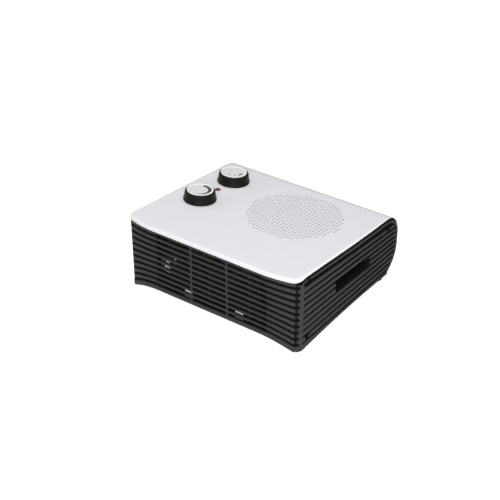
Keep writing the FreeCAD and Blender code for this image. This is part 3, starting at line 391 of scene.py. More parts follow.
material, shader, paint = new_finish("rail_tin")
rails_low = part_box("element_rails")[0]
place = own_place(paint)
across = coordinate(paint, place, "X")
near_tabs = [paint.maths("ABSOLUTE", across - tab_x) < TAB_HALF for tab_x in RAIL_TABS]
in_front = coordinate(paint, place, "Y") < rails_low.y + TAB_DEPTH
tab = in_front * (near_tabs[0] + near_tabs[1])
# Painted shade and painted highlight: the rails are dark for the shade inside the outlet, and their two
# front tabs are near white and glow.
two_tone(paint, tab, *RAIL_SHADE_AND_TAB_HIGHLIGHT).to(shader, "Base Color")
two_tone(paint, tab, (0, 0, 0), TAB_PAINTED_GLOW).to(shader, "Emission Color")
shader.inputs["Emission Strength"].default_value = 1.0
(0.32 + 0.15 * grain(paint, 0.004)).to(shader, "Roughness")
relief(paint, shader, grain(paint, 0.002), 0.00002)
dress(material, "element_rails")

# Painted shade: the ribbon is kept dark, for the shade inside the outlet.
ribbon_alloy = metal("ribbon_alloy", (0.13, 0.115, 0.1), (0.45, 0.7), 0.004, 0.00003, squeeze=(1, 1, 6))
dress(ribbon_alloy, "heating_ribbons")
cutout_ceramic = plastic("cutout_ceramic", CERAMIC, (0.3, 0.5), pimple=0.0009, depth=0.00004, drift=0.03)
shader = cutout_ceramic.node_tree.nodes["Principled BSDF"]
# Painted light: the cut-out glows faintly, so that it shows bright through the outlet.
shader.inputs["Emission Color"].default_value = (*CERAMIC, 1)
shader.inputs["Emission Strength"].default_value = CERAMIC_PAINTED_GLOW
dress(cutout_ceramic, "thermal_cutout")
# Painted shade: the fuse is kept dark, so that it shows no lit speck through the outlet.
fuse_case = metal("fuse_case", (0.2, 0.18, 0.15), (0.35, 0.5), 0.002, squeeze=(0.2, 1, 1))
dress(fuse_case, "thermal_fuse")


# Terminal block and cord inlet
# A pale moulded block on the tray that clamps the cord's wires, and a square gland of black plastic,
# pushed into the back wall where the cord would come in.

terminal_plastic = plastic("terminal_plastic", (0.72, 0.71, 0.68), rough=(0.4, 0.55), pimple=0.0009)
dress(terminal_plastic, "terminal_block")
dress(plastic("gland_plastic", (0.028, 0.028, 0.029), rough=(0.42, 0.6)), "cord_gland")


# Cover
# The sloping roof, the rounded back and a thin lip all round, moulded in one in satin white plastic
# with a soft edge. Screws from below pull its four pillars down on the tray.

HALF_WIDTH = 0.1175
FRONT = -0.1105
BACK = 0.1135
FRONT_TOP = 0.0988
TILT = math.radians(5.0)
LIP = 0.005
LIP_SIDE = 0.0024
LIP_BACK = 0.0006
# Where the lip starts to thin, has its height of the sides, starts to run out, and has run out
LIP_CHANGES = (-0.106, -0.086, 0.012, 0.083)
WALL = 0.0025
CORNER_R = 0.0115
FLAT_X = 0.0743
SWEEP_R = 0.116
SHOULDER_R = 0.030
LOWER_R = 0.039
TRAY_TOP = 0.0125
FLOOR_CLEAR = 0.0024
FAR = 0.2
BELOW = -0.05
CLEAR_OUT = 0.05
NEAR = 0.0001
ROOF_UP = Vector((0, math.sin(TILT), math.cos(TILT)))


def roof(y):
    return FRONT_TOP - (y - FRONT) * math.tan(TILT)


def on_roof(x, y, height=0.0):
    """A point above the roof, measured square to it."""
    return Vector((x, y, roof(y))) + ROOF_UP * height


def swept_turn(half_width, corner_r):
    """Turn at which the sweep of the front passes into the corner."""
    return math.asin((half_width - corner_r - FLAT_X) / (SWEEP_R - corner_r))


def outline_place(turn, half_width, front, corner_r):
    """Point and outward direction on the right of an outline seen from above. The turn is 0 where the flat
    front ends, grows through the sweep and the corner, and is a right angle at the straight side."""
    out = Vector((math.sin(turn), -math.cos(turn), 0))
    swept = swept_turn(half_width, corner_r)
    middle = Vector((FLAT_X, front + SWEEP_R, 0))
    if turn <= swept:
        return middle + out * SWEEP_R, out
    middle += Vector((math.sin(swept), -math.cos(swept), 0)) * (SWEEP_R - corner_r)
    return middle + out * corner_r, out


def cover_outline(inset):
    swept = swept_turn(HALF_WIDTH, CORNER_R)
    turns = steps(0, swept, 10) + steps(swept, math.pi / 2, 16)[1:]
    right = []
    for turn in turns:
        place, out = outline_place(turn, HALF_WIDTH, FRONT, CORNER_R)
        right.append(place - out * inset)
    right.append(Vector((right[-1].x, FAR, 0)))
    return [Vector((-p.x, p.y, 0)) for p in reversed(right)] + right


def passed(value, start, end):
    """How far a value has gone from a start to an end, from 0 to 1."""
    return min(1.0, max(0.0, (value - start) / (end - start)))


def lip(y):
    """Height of the lip: full at the front, thinner along the sides and running out towards the back."""
    start, thin, leave, end = LIP_CHANGES
    share = passed(y, start, thin)
    along = passed(y, leave, end)
    return LIP + (LIP_SIDE - LIP) * share * share * (3 - 2 * share) + (LIP_BACK - LIP_SIDE) * along


SHOULDER_MIDDLE = Vector((0, BACK - SHOULDER_R, roof(BACK - SHOULDER_R) - SHOULDER_R / math.cos(TILT)))
LOWER_MIDDLE = Vector((0, BACK - LOWER_R, FLOOR_CLEAR - LIP + LOWER_R))


def back_place(middle, radius, turn):
    """A point on one of the two rounds of the back, seen from the side."""
    return middle + Vector((0, math.cos(turn), math.sin(turn))) * radius


def side_outline(inset, under_lip=False, lowest=-math.pi / 2):
    """The heater seen from the side, drawn in by an inset: roof, round shoulder, back, round lower corner.
    Under the lip, the inset is added to the lip's height. The lower corner is followed down to its lowest
    turn, and from a turn that stops short the outline drops straight down."""
    whole = lowest <= -math.pi / 2
    around = inset + (LIP_BACK if under_lip else 0.0)
    arc = [back_place(LOWER_MIDDLE, LOWER_R - around, turn) for turn in steps(lowest, 0, 18)]
    for turn in steps(0, math.pi / 2 - TILT, 18):
        arc.append(back_place(SHOULDER_MIDDLE, SHOULDER_R - around, turn))
    low = FLOOR_CLEAR - LIP + around if whole else BELOW
    points = [Vector((0, -FAR, low)), Vector((0, arc[0].y, low))] + arc[whole:]
    ys = []
    if under_lip:
        start, thin, leave, end = LIP_CHANGES
        ys = steps(end, leave, 4)[1:] + steps(thin, start, 8)
    for y in ys + [-FAR]:
        drop = (inset + (lip(y) if under_lip else 0.0)) / math.cos(TILT)
        points.append(Vector((0, y, roof(y) - drop)))
    return points


def outline_solid(name, points, along):
    """A solid drawn as a flat outline and extruded along a vector."""
    piece = drawn(name, points, "NGON")
    bpy.ops.object.mode_set(mode="EDIT")
    bpy.ops.mesh.select_all(action="SELECT")
    bpy.ops.mesh.extrude_region_move(TRANSFORM_OT_translate={"value": along})
    face_outwards()
    return piece


def combine(piece, tool, operation):
    """Adds, cuts or keeps the common part of two solids; the tool is used up."""
    modifier = piece.modifiers.new("tool", "BOOLEAN")
    modifier.operation = operation
    modifier.solver = "EXACT"
    modifier.object = tool
    pick(piece)
    bpy.ops.object.modifier_apply(modifier=modifier.name)
    bpy.data.objects.remove(tool)
    bpy.ops.object.mode_set(mode="EDIT")
    bpy.ops.mesh.select_all(action="SELECT")
    bpy.ops.mesh.remove_doubles(threshold=0.000003)
    bpy.ops.mesh.dissolve_degenerate(threshold=0.000003)
    bpy.ops.object.mode_set(mode="OBJECT")


def across_solid(name, outline):
    """A solid with an outline seen from the side that runs right through the heater."""
    return outline_solid(name, [p - Vector((FAR, 0, 0)) for p in outline], (2 * FAR, 0, 0))


def plan_solid(name, inset, low):
    """An upright solid with the cover's outline seen from above, drawn in by an inset."""
    return outline_solid(name, [p + Vector((0, 0, low)) for p in cover_outline(inset)], (0, 0, FAR))


def block(name, low, high):
    corners = [(low[0], low[1]), (high[0], low[1]), (high[0], high[1]), (low[0], high[1])]
    return outline_solid(name, [Vector((*c, low[2])) for c in corners], (0, 0, high[2] - low[2]))


def round_solid(name, middle, along, radius, sides):
    """A round solid that starts at a point and runs along a vector."""
    turn = Vector(along).to_track_quat("Z", "Y")
    points = []
    for k in range(sides):
        angle = 2 * math.pi * k / sides
        spoke = Vector((radius * math.cos(angle), radius * math.sin(angle), 0))
        points.append(Vector(middle) + turn @ spoke)
    return outline_solid(name, points, along)


INTAKE = (0.0307, 0.0204)
INTAKE_R = 0.0608
INTAKE_SIDES = 128
KNOB_X = -0.0784
THERMOSTAT_Y = -0.0187
SELECTOR_Y = 0.0476
LAMP_Y = 0.0165
LENS_R = 0.0032
BUSH_R = 0.0048
HOLE_REACH = 0.02
EDGE_R = 0.0018
EDGE_SHARP = math.radians(50)
REBATE_X = 0.1143
PILLARS = ((0.090, -0.096), (-0.090, -0.096), (0.070, 0.093), (-0.070, 0.093))
PILLAR_HALF = 0.0035
PILLAR_UNDER = 0.0017
SHOULDER_UNDER = 0.0037
GLAND_GAP = 0.0002
GLAND_SEAT = 0.0012
GLAND_LEDGE = 0.0024
GLAND_BORE_Y = 0.08
HIGHLIGHT_BAND = 0.0016
HIGHLIGHT_STEEP = 900.0
ROOF_WHITE = ((0.79, 0.766, 0.805), (0.81, 0.784, 0.825))
HIGHLIGHT_WHITE = (0.97, 0.96, 0.98)

cover = across_solid("cover", side_outline(0.0))
combine(cover, plan_solid("plan", 0.0, TRAY_TOP), "INTERSECT")
pick(cover)
bpy.ops.object.mode_set(mode="EDIT")
bpy.ops.mesh.select_mode(type="EDGE")
bpy.ops.mesh.select_all(action="DESELECT")
bpy.ops.mesh.edges_select_sharp(sharpness=EDGE_SHARP)
bpy.ops.object.mode_set(mode="OBJECT")
points = cover.data.vertices
for edge in cover.data.edges:
    low_edge = max(points[k].co.z for k in edge.vertices) < TRAY_TOP + NEAR
    edge.select = edge.select and not low_edge
for face in cover.data.polygons:
    face.select = False
for vertex in points:
    vertex.select = False
bpy.ops.object.mode_set(mode="EDIT")
bpy.ops.mesh.bevel(offset=EDGE_R, segments=6, profile=0.5, affect="EDGES", clamp_overlap=False)
bpy.ops.object.mode_set(mode="OBJECT")
inside = across_solid("inside", side_outline(WALL))
combine(inside, plan_solid("inside plan", WALL, BELOW), "INTERSECT")
combine(cover, inside, "DIFFERENCE")
combine(cover, across_solid("below the lip", side_outline(LIP)), "DIFFERENCE")
for side in (1, -1):
    rebate = [p + Vector((side * REBATE_X, 0, 0)) for p in side_outline(0.0, True)]
    combine(cover, outline_solid("rebate", rebate, (side * CLEAR_OUT, 0, 0)), "DIFFERENCE")
for x, y in PILLARS:
    top = roof(y) - (SHOULDER_UNDER if y > BACK - SHOULDER_R else PILLAR_UNDER)
    foot = (x - PILLAR_HALF, y - PILLAR_HALF, TRAY_TOP)
    combine(cover, block("pillar", foot, (x + PILLAR_HALF, y + PILLAR_HALF, top)), "UNION")
for name, x, y, radius, sides in (
    ("intake hole", *INTAKE, INTAKE_R, INTAKE_SIDES),
    ("thermostat hole", KNOB_X, THERMOSTAT_Y, BUSH_R, 32),
    ("selector hole", KNOB_X, SELECTOR_Y, BUSH_R, 32),
    ("lens hole", KNOB_X, LAMP_Y, LENS_R, 32),
):
    under = on_roof(x, y, -HOLE_REACH)
    combine(cover, round_solid(name, under, ROOF_UP * (2 * HOLE_REACH), radius, sides), "DIFFERENCE")
low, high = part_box("cord_gland")
for name, grow, start in (
    ("gland hole", GLAND_GAP, high.y - GLAND_SEAT),
    ("gland bore", -GLAND_LEDGE, GLAND_BORE_Y),
):
    corner = (low.x - grow, start, low.z - grow)
    combine(cover, block(name, corner, (high.x + grow, FAR, high.z + grow)), "DIFFERENCE")
soften(cover, 32)


def risen(paint, value, start, steep):
    """Rises from 0 to 1 once a value is past its start, at so much a metre."""
    return paint.maths("MINIMUM", paint.maths("MAXIMUM", (value - start) * steep, 0.0), 1.0)


cover_white, shader, paint = new_finish("cover_white")
cloudy = clouds(paint)
fine = grain(paint, 0.0005)
across = paint.maths("ABSOLUTE", coordinate(paint, own_place(paint), "X"))
# Painted highlight: a band along each side edge is paler white, where the lip catches the light.
edge = risen(paint, across, HALF_WIDTH - HIGHLIGHT_BAND, HIGHLIGHT_STEEP)
two_tone(paint, edge, two_tone(paint, cloudy, *ROOF_WHITE), HIGHLIGHT_WHITE).to(shader, "Base Color")
(0.42 + 0.14 * (0.6 * fine + 0.4 * cloudy)).to(shader, "Roughness")
relief(paint, shader, fine, 0.000012)
hand_over(cover, "casing", "cover_white", cover_white, "top_cover")


# Intake
# A thin disc of fine round holes in square rows, moulded in the cover's white plastic and set flush
# in the roof over the fan.

PITCH_X = 0.0047
PITCH_Y = 0.0050
HOLE_R = 0.0012
HOLES_X = 0.0566
HOLES_Y = 0.0598
INTAKE_WALL = 0.0006
INTAKE_GAP = 0.00002
INTAKE_RIM = 0.0004
HOLE_SIDES = 16
ON_HOLE = 1.02

bpy.ops.object.select_all(action="DESELECT")
bpy.ops.mesh.primitive_circle_add(vertices=HOLE_SIDES, radius=HOLE_R, fill_type="NOTHING")
intake = bpy.context.object
intake.name = "intake"
bpy.ops.object.mode_set(mode="EDIT")
bpy.ops.mesh.select_all(action="SELECT")
bpy.ops.mesh.extrude_region_move(TRANSFORM_OT_translate={"value": (0, 0, 0)})
bpy.ops.transform.resize(value=(2, 2, 1))
bpy.ops.object.mode_set(mode="OBJECT")
for vertex in intake.data.vertices:
    if vertex.co.length > HOLE_R * ON_HOLE:
        vertex.co *= 0.5 / max(abs(vertex.co.x), abs(vertex.co.y))
        vertex.co *= Vector((PITCH_X, PITCH_Y, 0))
count = 2 * int(INTAKE_R / PITCH_X) + 3
for offset in ((PITCH_X, 0, 0), (0, PITCH_Y, 0)):
    modifier = intake.modifiers.new("rows", "ARRAY")
    modifier.count = count
    modifier.use_relative_offset = False
    modifier.use_constant_offset = True
    modifier.constant_offset_displace = offset
    bpy.ops.object.modifier_apply(modifier=modifier.name)
shift = Vector((PITCH_X, PITCH_Y, 0)) * (count - 1) / 2
for vertex in intake.data.vertices:
    vertex.co -= shift
bpy.ops.object.mode_set(mode="EDIT")
bpy.ops.mesh.select_mode(type="VERT")
bpy.ops.mesh.select_all(action="SELECT")
bpy.ops.mesh.remove_doubles(threshold=0.00005)
bpy.ops.mesh.normals_make_consistent(inside=False)
bpy.ops.mesh.select_mode(type="FACE")
bpy.ops.mesh.select_all(action="DESELECT")
bpy.ops.object.mode_set(mode="OBJECT")


def tile_middle(point):
    """Middle of the hole's tile that a point of the lattice lies in."""
    return Vector((round(point.x / PITCH_X) * PITCH_X, round(point.y / PITCH_Y) * PITCH_Y, 0))


for face in intake.data.polygons:
    middle = tile_middle(face.center)
    face.select = (middle.x / HOLES_X) ** 2 + (middle.y / HOLES_Y) ** 2 > 1
bpy.ops.object.mode_set(mode="EDIT")
bpy.ops.mesh.delete(type="FACE")
bpy.ops.object.mode_set(mode="OBJECT")
reach = INTAKE_R - INTAKE_GAP
for vertex in intake.data.vertices:
    if vertex.co.length > reach - INTAKE_RIM:
        vertex.co *= (reach - INTAKE_RIM) / vertex.co.length
bpy.ops.object.mode_set(mode="EDIT")
bpy.ops.mesh.select_mode(type="EDGE")
bpy.ops.mesh.select_all(action="DESELECT")
bpy.ops.object.mode_set(mode="OBJECT")
uses = {}
for face in intake.data.polygons:
    for key in face.edge_keys:
        uses[key] = uses.get(key, 0) + 1
for edge in intake.data.edges:
    ends = [intake.data.vertices[k].co for k in edge.vertices]
    middle = (ends[0] + ends[1]) / 2
    hole_edge = (middle - tile_middle(middle)).length < HOLE_R * ON_HOLE
    edge.select = uses.get(tuple(sorted(edge.vertices)), 0) == 1 and not hole_edge
bpy.ops.object.select_all(action="DESELECT")
bpy.ops.mesh.primitive_circle_add(vertices=INTAKE_SIDES, radius=reach, fill_type="NOTHING")
edge_ring = bpy.context.object
for edge in edge_ring.data.edges:
    edge.select = True
intake.select_set(True)
bpy.context.view_layer.objects.active = intake
bpy.ops.object.join()
bpy.ops.object.mode_set(mode="EDIT")
bpy.ops.mesh.fill(use_beauty=True)
bpy.ops.mesh.select_all(action="SELECT")
bpy.ops.mesh.normals_make_consistent(inside=False)
bpy.ops.mesh.select_all(action="SELECT")
bpy.ops.mesh.extrude_region_move(TRANSFORM_OT_translate={"value": (0, 0, -INTAKE_WALL)})
face_outwards()


def set_on_roof(piece, x, y):
    """Moves a piece that was made upright at the origin to its place on the sloping roof."""
    piece.data.transform(Matrix.Translation(on_roof(x, y)) @ Matrix.Rotation(-TILT, 4, "X"))


set_on_roof(intake, *INTAKE)
soften(intake, 30, False)
hand_over(intake, "casing", "cover_white", cover_white, "intake_grille")


# Controls under the roof
# Thermostat and rotary switch in grey-brown moulded cases, their steel spindles,
# and the neon lamp's glass. They hang under the roof behind the knobs.

LAMP_GLASS = ((0.75, 0.55, 0.42), (0.9, 0.75, 0.62))

control_plastic = plastic("control_plastic", (0.33, 0.31, 0.28), rough=(0.4, 0.55), pimple=0.0008)
dress(control_plastic, "thermostat_body", "selector_switch")
spindle_steel = metal("spindle_steel", (0.6, 0.6, 0.61), (0.2, 0.36), 0.002, squeeze=(1, 1, 10))
dress(spindle_steel, "thermostat_spindle", "selector_spindle")
material, shader, paint = new_finish("lamp_glass")
two_tone(paint, grain(paint, 0.004), *LAMP_GLASS).to(shader, "Base Color")
shader.inputs["Roughness"].default_value = 0.08
dress(material, "neon_lamp")


# Indicator lens
# A small dome moulded in clear red plastic, hollow from below for the neon lamp,
# pushed into the roof between the knobs.

LENS_FLANGE_R = 0.0035
LENS_BORE = 0.0024
LENS_RISE = 0.0016
LENS_DEPTH = 0.009
LENS_EDGE = 0.0004
LENS_CEILING = 0.0003
LENS_GAP = 0.00005
LENS_RED = ((0.12, 0.006, 0.02), (0.18, 0.016, 0.035))

dome = []
for turn in steps(0, math.pi / 2, 10)[:-1]:
    dome.append((LENS_FLANGE_R * math.cos(turn), LENS_EDGE + (LENS_RISE - LENS_EDGE) * math.sin(turn)))
lens = turned("indicator_lens", [
    (LENS_FLANGE_R, 0),
    *dome,
    (0, LENS_RISE),
    (0, LENS_CEILING),
    (LENS_BORE, LENS_CEILING),
    (LENS_BORE, -LENS_DEPTH),
    (LENS_R - LENS_GAP, -LENS_DEPTH),
    (LENS_R - LENS_GAP, 0),
], 40)
set_on_roof(lens, KNOB_X, LAMP_Y)
soften(lens, 40)
material, shader, paint = new_finish("lens_red")
cloud = grain(paint, 0.002)
two_tone(paint, cloud, *LENS_RED).to(shader, "Base Color")
(0.12 + 0.1 * cloud).to(shader, "Roughness")
relief(paint, shader, grain(paint, 0.0011), 0.00002)
shader.inputs["Coat Weight"].default_value = 0.6
hand_over(lens, "casing", "lens_red", material, "lamp_lens")


# Knobs
# Two black semi-gloss mouldings with a low flange, a bevelled upper rim and a hollow underside.
# The hub of each is pushed on the flat end of its spindle.

KNOB_SKIRT_R = 0.0197
KNOB_TOP_R = 0.0180
KNOB_HEIGHT = 0.0127
KNOB_LOW = 0.0004
CAP_R = 0.0158
CAP_SEAT = 0.0109
KNOB_CEILING = 0.0095
HUB_R = 0.0055
HUB_BORE = 0.0031
HUB_LOW = 0.0022
HOLLOW_TOP_R = 0.0151
HOLLOW_LOW_R = 0.0155
FLANGE_TOP = 0.0028
FLANGE_END = 0.0036
KNOB_FLARE = 0.0010
KNOB_BEVEL = 0.0012
CAP_GAP = 0.0002
KNOB_BLACK = (0.0088, 0.0068, 0.0074)

knob_outline = filleted([
    (0, CAP_SEAT, 0),
    (0, KNOB_CEILING, 0),
    (HUB_BORE, KNOB_CEILING, 0),
    (HUB_BORE, HUB_LOW, 0.0002),
    (HUB_R, HUB_LOW, 0.0003),
    (HUB_R, KNOB_CEILING, 0.0005),
    (HOLLOW_TOP_R, KNOB_CEILING, 0.0008),
    (HOLLOW_LOW_R, KNOB_LOW, 0.0003),
    (KNOB_SKIRT_R, KNOB_LOW, 0.0003),
    (KNOB_SKIRT_R, FLANGE_TOP, 0.0005),
    (KNOB_TOP_R + KNOB_FLARE, FLANGE_END, 0.0008),
    (KNOB_TOP_R, KNOB_HEIGHT - KNOB_BEVEL, 0.0006),
    (CAP_R + CAP_GAP, KNOB_HEIGHT, 0.0002),
    (CAP_R + CAP_GAP, CAP_SEAT, 0),
])
knob_black = plastic("knob_black", KNOB_BLACK, rough=(0.38, 0.5), drift=0.08, shine=0.14)
for control, y in (("thermostat", THERMOSTAT_Y), ("selector", SELECTOR_Y)):
    knob = turned(control + "_knob_black", knob_outline, 96)
    set_on_roof(knob, KNOB_X, y)
    soften(knob, 35)
    hand_over(knob, control + "_dial", "knob_black", knob_black, control + "_knob")


# Dial caps
# White glossy discs pressed into the knobs, with a raised rim and a shallow dish that is printed:
# a crescent that grows with the warmth on the thermostat, plain position marks on the selector.

CAP_TOP = 0.0133
DISH_R = 0.0146
DISH = 0.00035
DISH_SLOPE = 0.0008
DISH_EDGE = 0.0006
CRESCENT_R = 0.0133
CRESCENT_WIDE = 0.0043
CRESCENT_THIN = 0.0004
CRESCENT_START = math.radians(108)
CRESCENT_END = math.radians(-76)
# Dots: turn in degrees, distance from the middle, radius, strength of the ink
MARKS = ((-91, 0.0098, 0.0013, 0.62), (-45, 0.0096, 0.0013, 0.62), (174, 0.0050, 0.0017, 0.16))
# Stroke: from and to which turn, inner and outer radius
STROKE = (math.radians(-22), math.radians(14), 0.0096, 0.0116)
INK_GREY = (0.13, 0.13, 0.125)
INK_BLACK = (0.012, 0.011, 0.012)
RIM_HIGHLIGHT_WHITE = (0.93, 0.92, 0.93)
CAP_FACE = (0.81, 0.79, 0.795)

cap_outline = filleted([
    (0, CAP_TOP - DISH, 0),
    (0, CAP_SEAT, 0),
    (CAP_R, CAP_SEAT, 0),
    (CAP_R, CAP_TOP, 0.0003),
    (DISH_R, CAP_TOP, 0.0003),
    (DISH_R - DISH_SLOPE, CAP_TOP - DISH, 0.0006),
])


def cap_finish(name, y):
    """Glossy white, with a painted highlight that makes the raised rim paler than the dish. Gives the
    material, its shader, its node sums, the colour of the bare face and the place on the cap: across, along,
    radius and angle."""
    material, shader, paint = new_finish(name)
    placed = paint.node(
        "ShaderNodeMapping",
        {"vector_type": "TEXTURE"},
        {"Vector": own_place(paint), "Location": on_roof(KNOB_X, y), "Rotation": (-TILT, 0, 0)},
    )
    across = coordinate(paint, placed, "X")
    along = coordinate(paint, placed, "Y")
    radius = paint.maths("SQRT", across * across + along * along)
    angle = paint.maths("ARCTAN2", along, across)
    # Painted highlight: the raised rim is paler white than the dish.
    face = two_tone(paint, radius < DISH_R - DISH_EDGE, RIM_HIGHLIGHT_WHITE, CAP_FACE)
    (0.16 + 0.12 * grain(paint, 0.006)).to(shader, "Roughness")
    relief(paint, shader, grain(paint, 0.003), 0.00004)
    shader.inputs["Coat Weight"].default_value = 0.3
    return material, shader, paint, face, (across, along, radius, angle)


thermostat_print, shader, paint, face, spot = cap_finish("thermostat_print", THERMOSTAT_Y)
across, along, radius, angle = spot
run = (CRESCENT_START - angle) * (1 / (CRESCENT_START - CRESCENT_END))
inner = CRESCENT_R - CRESCENT_THIN - CRESCENT_WIDE * (1 - run * run)
crescent = (radius < CRESCENT_R) * (radius > inner) * (run > 0.0) * (run < 1.0)
ink = two_tone(paint, run, INK_GREY, INK_BLACK)
two_tone(paint, crescent, face, ink).to(shader, "Base Color")

selector_print, shader, paint, face, spot = cap_finish("selector_print", SELECTOR_Y)
across, along, radius, angle = spot
stroke = (angle > STROKE[0]) * (angle < STROKE[1]) * (radius > STROKE[2]) * (radius < STROKE[3])
face = two_tone(paint, stroke, face, INK_BLACK)
for turn, reach, dot, strength in MARKS:
    x = across - reach * math.cos(math.radians(turn))
    y = along - reach * math.sin(math.radians(turn))
    mark = (paint.maths("SQRT", x * x + y * y) < dot) * strength
    face = two_tone(paint, mark, face, INK_BLACK)
face.to(shader, "Base Color")

for control, y, material in (
    ("thermostat", THERMOSTAT_Y, thermostat_print),
    ("selector", SELECTOR_Y, selector_print),
):
    cap = turned(control + "_cap_white", cap_outline, 96)
    set_on_roof(cap, KNOB_X, y)
    soften(cap, 35)
    hand_over(cap, control + "_dial", "cap_white", material, control + "_cap")


# Louvred front
# One black moulding that wraps the front corners. Its ten grooves run level over the outlet and fan out
# as they drop to the corners; over the outlet they open into slots between slats, crossed by two thin bars.

SIDE_FACE = 0.119
SKIRT_FRONT = -0.1092
SKIRT_R = 0.010
SKIRT_WALL = 0.0045
GROOVES = 10
GROOVE_START = 0.07
GROOVE_HEIGHT = 0.0029
SLOT_HEIGHT = 0.0042
GROOVE_DEPTH = 0.0036
SLAT_DEPTH = 0.0034
ARCH = 0.014
ARCH_FLAT_X = 0.0715
ARCH_END_X = 0.112
SLAT_EDGE = 0.0006
WINDOW = (-0.0712, 0.0808)
WINDOW_EDGE = 0.0015
BARS = (-0.0217, 0.0277)
BAR = 0.0019
BAR_SOFT = BAR * 0.4
BAR_FACE = SKIRT_FRONT - 0.0001
BAR_BACK = SKIRT_FRONT + 0.0032
BAR_END = 0.002
JOINT = math.radians(35.0)
JOINT_FALL = 0.0024
JOINT_REACH = 0.0034
SEAM = 0.0002
RIB_STEPS = 8
RIB_ROUND = 0.62
LOW_RIB_EDGE = 0.9
SHADE_START_DEPTH = 0.0006
SHADE_STEEP = 700.0
RIB_BLACK = ((0.040, 0.0342, 0.0355), (0.048, 0.0420, 0.0434))
GROOVE_SHADE_BLACK = (0.005, 0.0045, 0.0047)


def groove_share(k):
    """How far down the skirt groove k lies, from 0 at the lip to 1 at the bottom edge."""
    return (k - GROOVE_START) / (GROOVES + 1 - GROOVE_START)


def rib_rows(top, low, flat_low=False):
    """Rows of one rounded rib between two levels, from its low edge up: level, and share of the full depth.
    A flat low edge stays at the full depth."""
    middle, half = (top + low) / 2, (top - low) / 2
    rows = []
    for turn in steps(math.pi, 0, RIB_STEPS):
        across = math.cos(turn)
        share = abs(math.sin(turn)) ** RIB_ROUND
        if flat_low and across < 0:
            share = LOW_RIB_EDGE if turn == math.pi else 1.0
        rows.append((middle + half * math.copysign(abs(across) ** RIB_ROUND, across), share))
    return rows


def skirt_rows(levels, gap):
    """Rows of the ribs, from the bottom edge up, for the levels of the edges and grooves at one place."""
    rows = []
    for k in range(GROOVES, -1, -1):
        top = levels[k] - (gap / 2 if k else 0.0)
        low = levels[k + 1] + (gap / 2 if k < GROOVES else 0.0)
        rows += rib_rows(top, low, k == GROOVES)
    return rows


def sheet_solid(name, columns, rows, open_cells, place):
    """A wall made from a grid: cells left open are taken out, the rest gets its thickness, and place()
    puts each point of the back (0) and front (1) layer."""
    bpy.ops.object.select_all(action="DESELECT")
    bpy.ops.mesh.primitive_grid_add(x_subdivisions=columns - 1, y_subdivisions=rows - 1, size=1.0)
    piece = bpy.context.object
    piece.name = name
    for vertex in piece.data.vertices:
        column = round((vertex.co.x + 0.5) * (columns - 1))
        row = round((vertex.co.y + 0.5) * (rows - 1))
        vertex.co = (column, row, 0)
    bpy.ops.object.mode_set(mode="EDIT")
    bpy.ops.mesh.select_mode(type="FACE")
    bpy.ops.mesh.select_all(action="DESELECT")
    bpy.ops.object.mode_set(mode="OBJECT")
    for face in piece.data.polygons:
        face.select = (int(face.center.x), int(face.center.y)) in open_cells
    bpy.ops.object.mode_set(mode="EDIT")
    bpy.ops.mesh.delete(type="FACE")
    bpy.ops.mesh.select_all(action="SELECT")
    bpy.ops.mesh.extrude_region_move(TRANSFORM_OT_translate={"value": (0, 0, 1)})
    bpy.ops.object.mode_set(mode="OBJECT")
    for vertex in piece.data.vertices:
        vertex.co = place(round(vertex.co.x), round(vertex.co.y), round(vertex.co.z))
    face_outwards()
    return piece


def skirt_place(turn):
    return outline_place(turn, SIDE_FACE, SKIRT_FRONT, SKIRT_R)


def left_of(place, out):
    return Vector((-place.x, place.y, 0)), Vector((-out.x, out.y, 0))


def front_place_at(x):
    """Point and outward direction on the flat front or its sweeps."""
    if abs(x) <= FLAT_X:
        return Vector((x, SKIRT_FRONT, 0)), Vector((0, -1, 0))
    found = skirt_place(math.asin((abs(x) - FLAT_X) / SWEEP_R))
    return found if x > 0 else left_of(*found)


def top_edge(y):
    return roof(y) - (LIP + SEAM) / math.cos(TILT)


def spread(top, low, share):
    return top - share * (top - low)


JOINT_Y = skirt_place(JOINT)[0].y
SHARES = [groove_share(k) for k in range(1, GROOVES + 1)] + [1.0]
SWEPT = swept_turn(SIDE_FACE, SKIRT_R)
SWEEP_END = FLAT_X + SWEEP_R * math.sin(SWEPT)
corner = [skirt_place(turn) for turn in steps(SWEPT, JOINT, 6)]
columns = [left_of(*found) for found in reversed(corner)]
columns += [front_place_at(x) for x in steps(-SWEEP_END, WINDOW[0] - WINDOW_EDGE, 14)[1:]]
first_open = len(columns)
columns += [front_place_at(x) for x in steps(*WINDOW, 18)]
open_columns = range(first_open, len(columns) - 1)
columns += [front_place_at(x) for x in steps(WINDOW[1] + WINDOW_EDGE, SWEEP_END, 12)[:-1]]
columns += corner


def joint_sink(run):
    """How far the face falls back next to the joint of front and side, at a run away from it."""
    return JOINT_FALL * max(0.0, 1 - run / JOINT_REACH) ** 2


def front_column(place, out):
    """Place, direction, whether it lies in the outlet, the fall next to the joint and the rows of the ribs,
    for one column of the front."""
    along = passed(abs(place.x), ARCH_FLAT_X, ARCH_END_X)
    inside = WINDOW[0] - NEAR < place.x < WINDOW[1] + NEAR
    levels = [top_edge(place.y)]
    for share in SHARES:
        level = spread(roof(FRONT) - LIP, ARCH, share)
        corner_level = spread(roof(JOINT_Y) - LIP, FLOOR_CLEAR, share)
        levels.append(level + along * along * (corner_level - level))
    sink = joint_sink((JOINT - math.atan2(abs(out.x), -out.y)) * SKIRT_R)
    return place, out, inside, sink, skirt_rows(levels, SLOT_HEIGHT if inside else GROOVE_HEIGHT)


front_columns = [front_column(*found) for found in columns]
rows_each = RIB_STEPS + 1
open_cells = {(c, r * rows_each - 1) for c in open_columns for r in range(1, GROOVES + 1)}


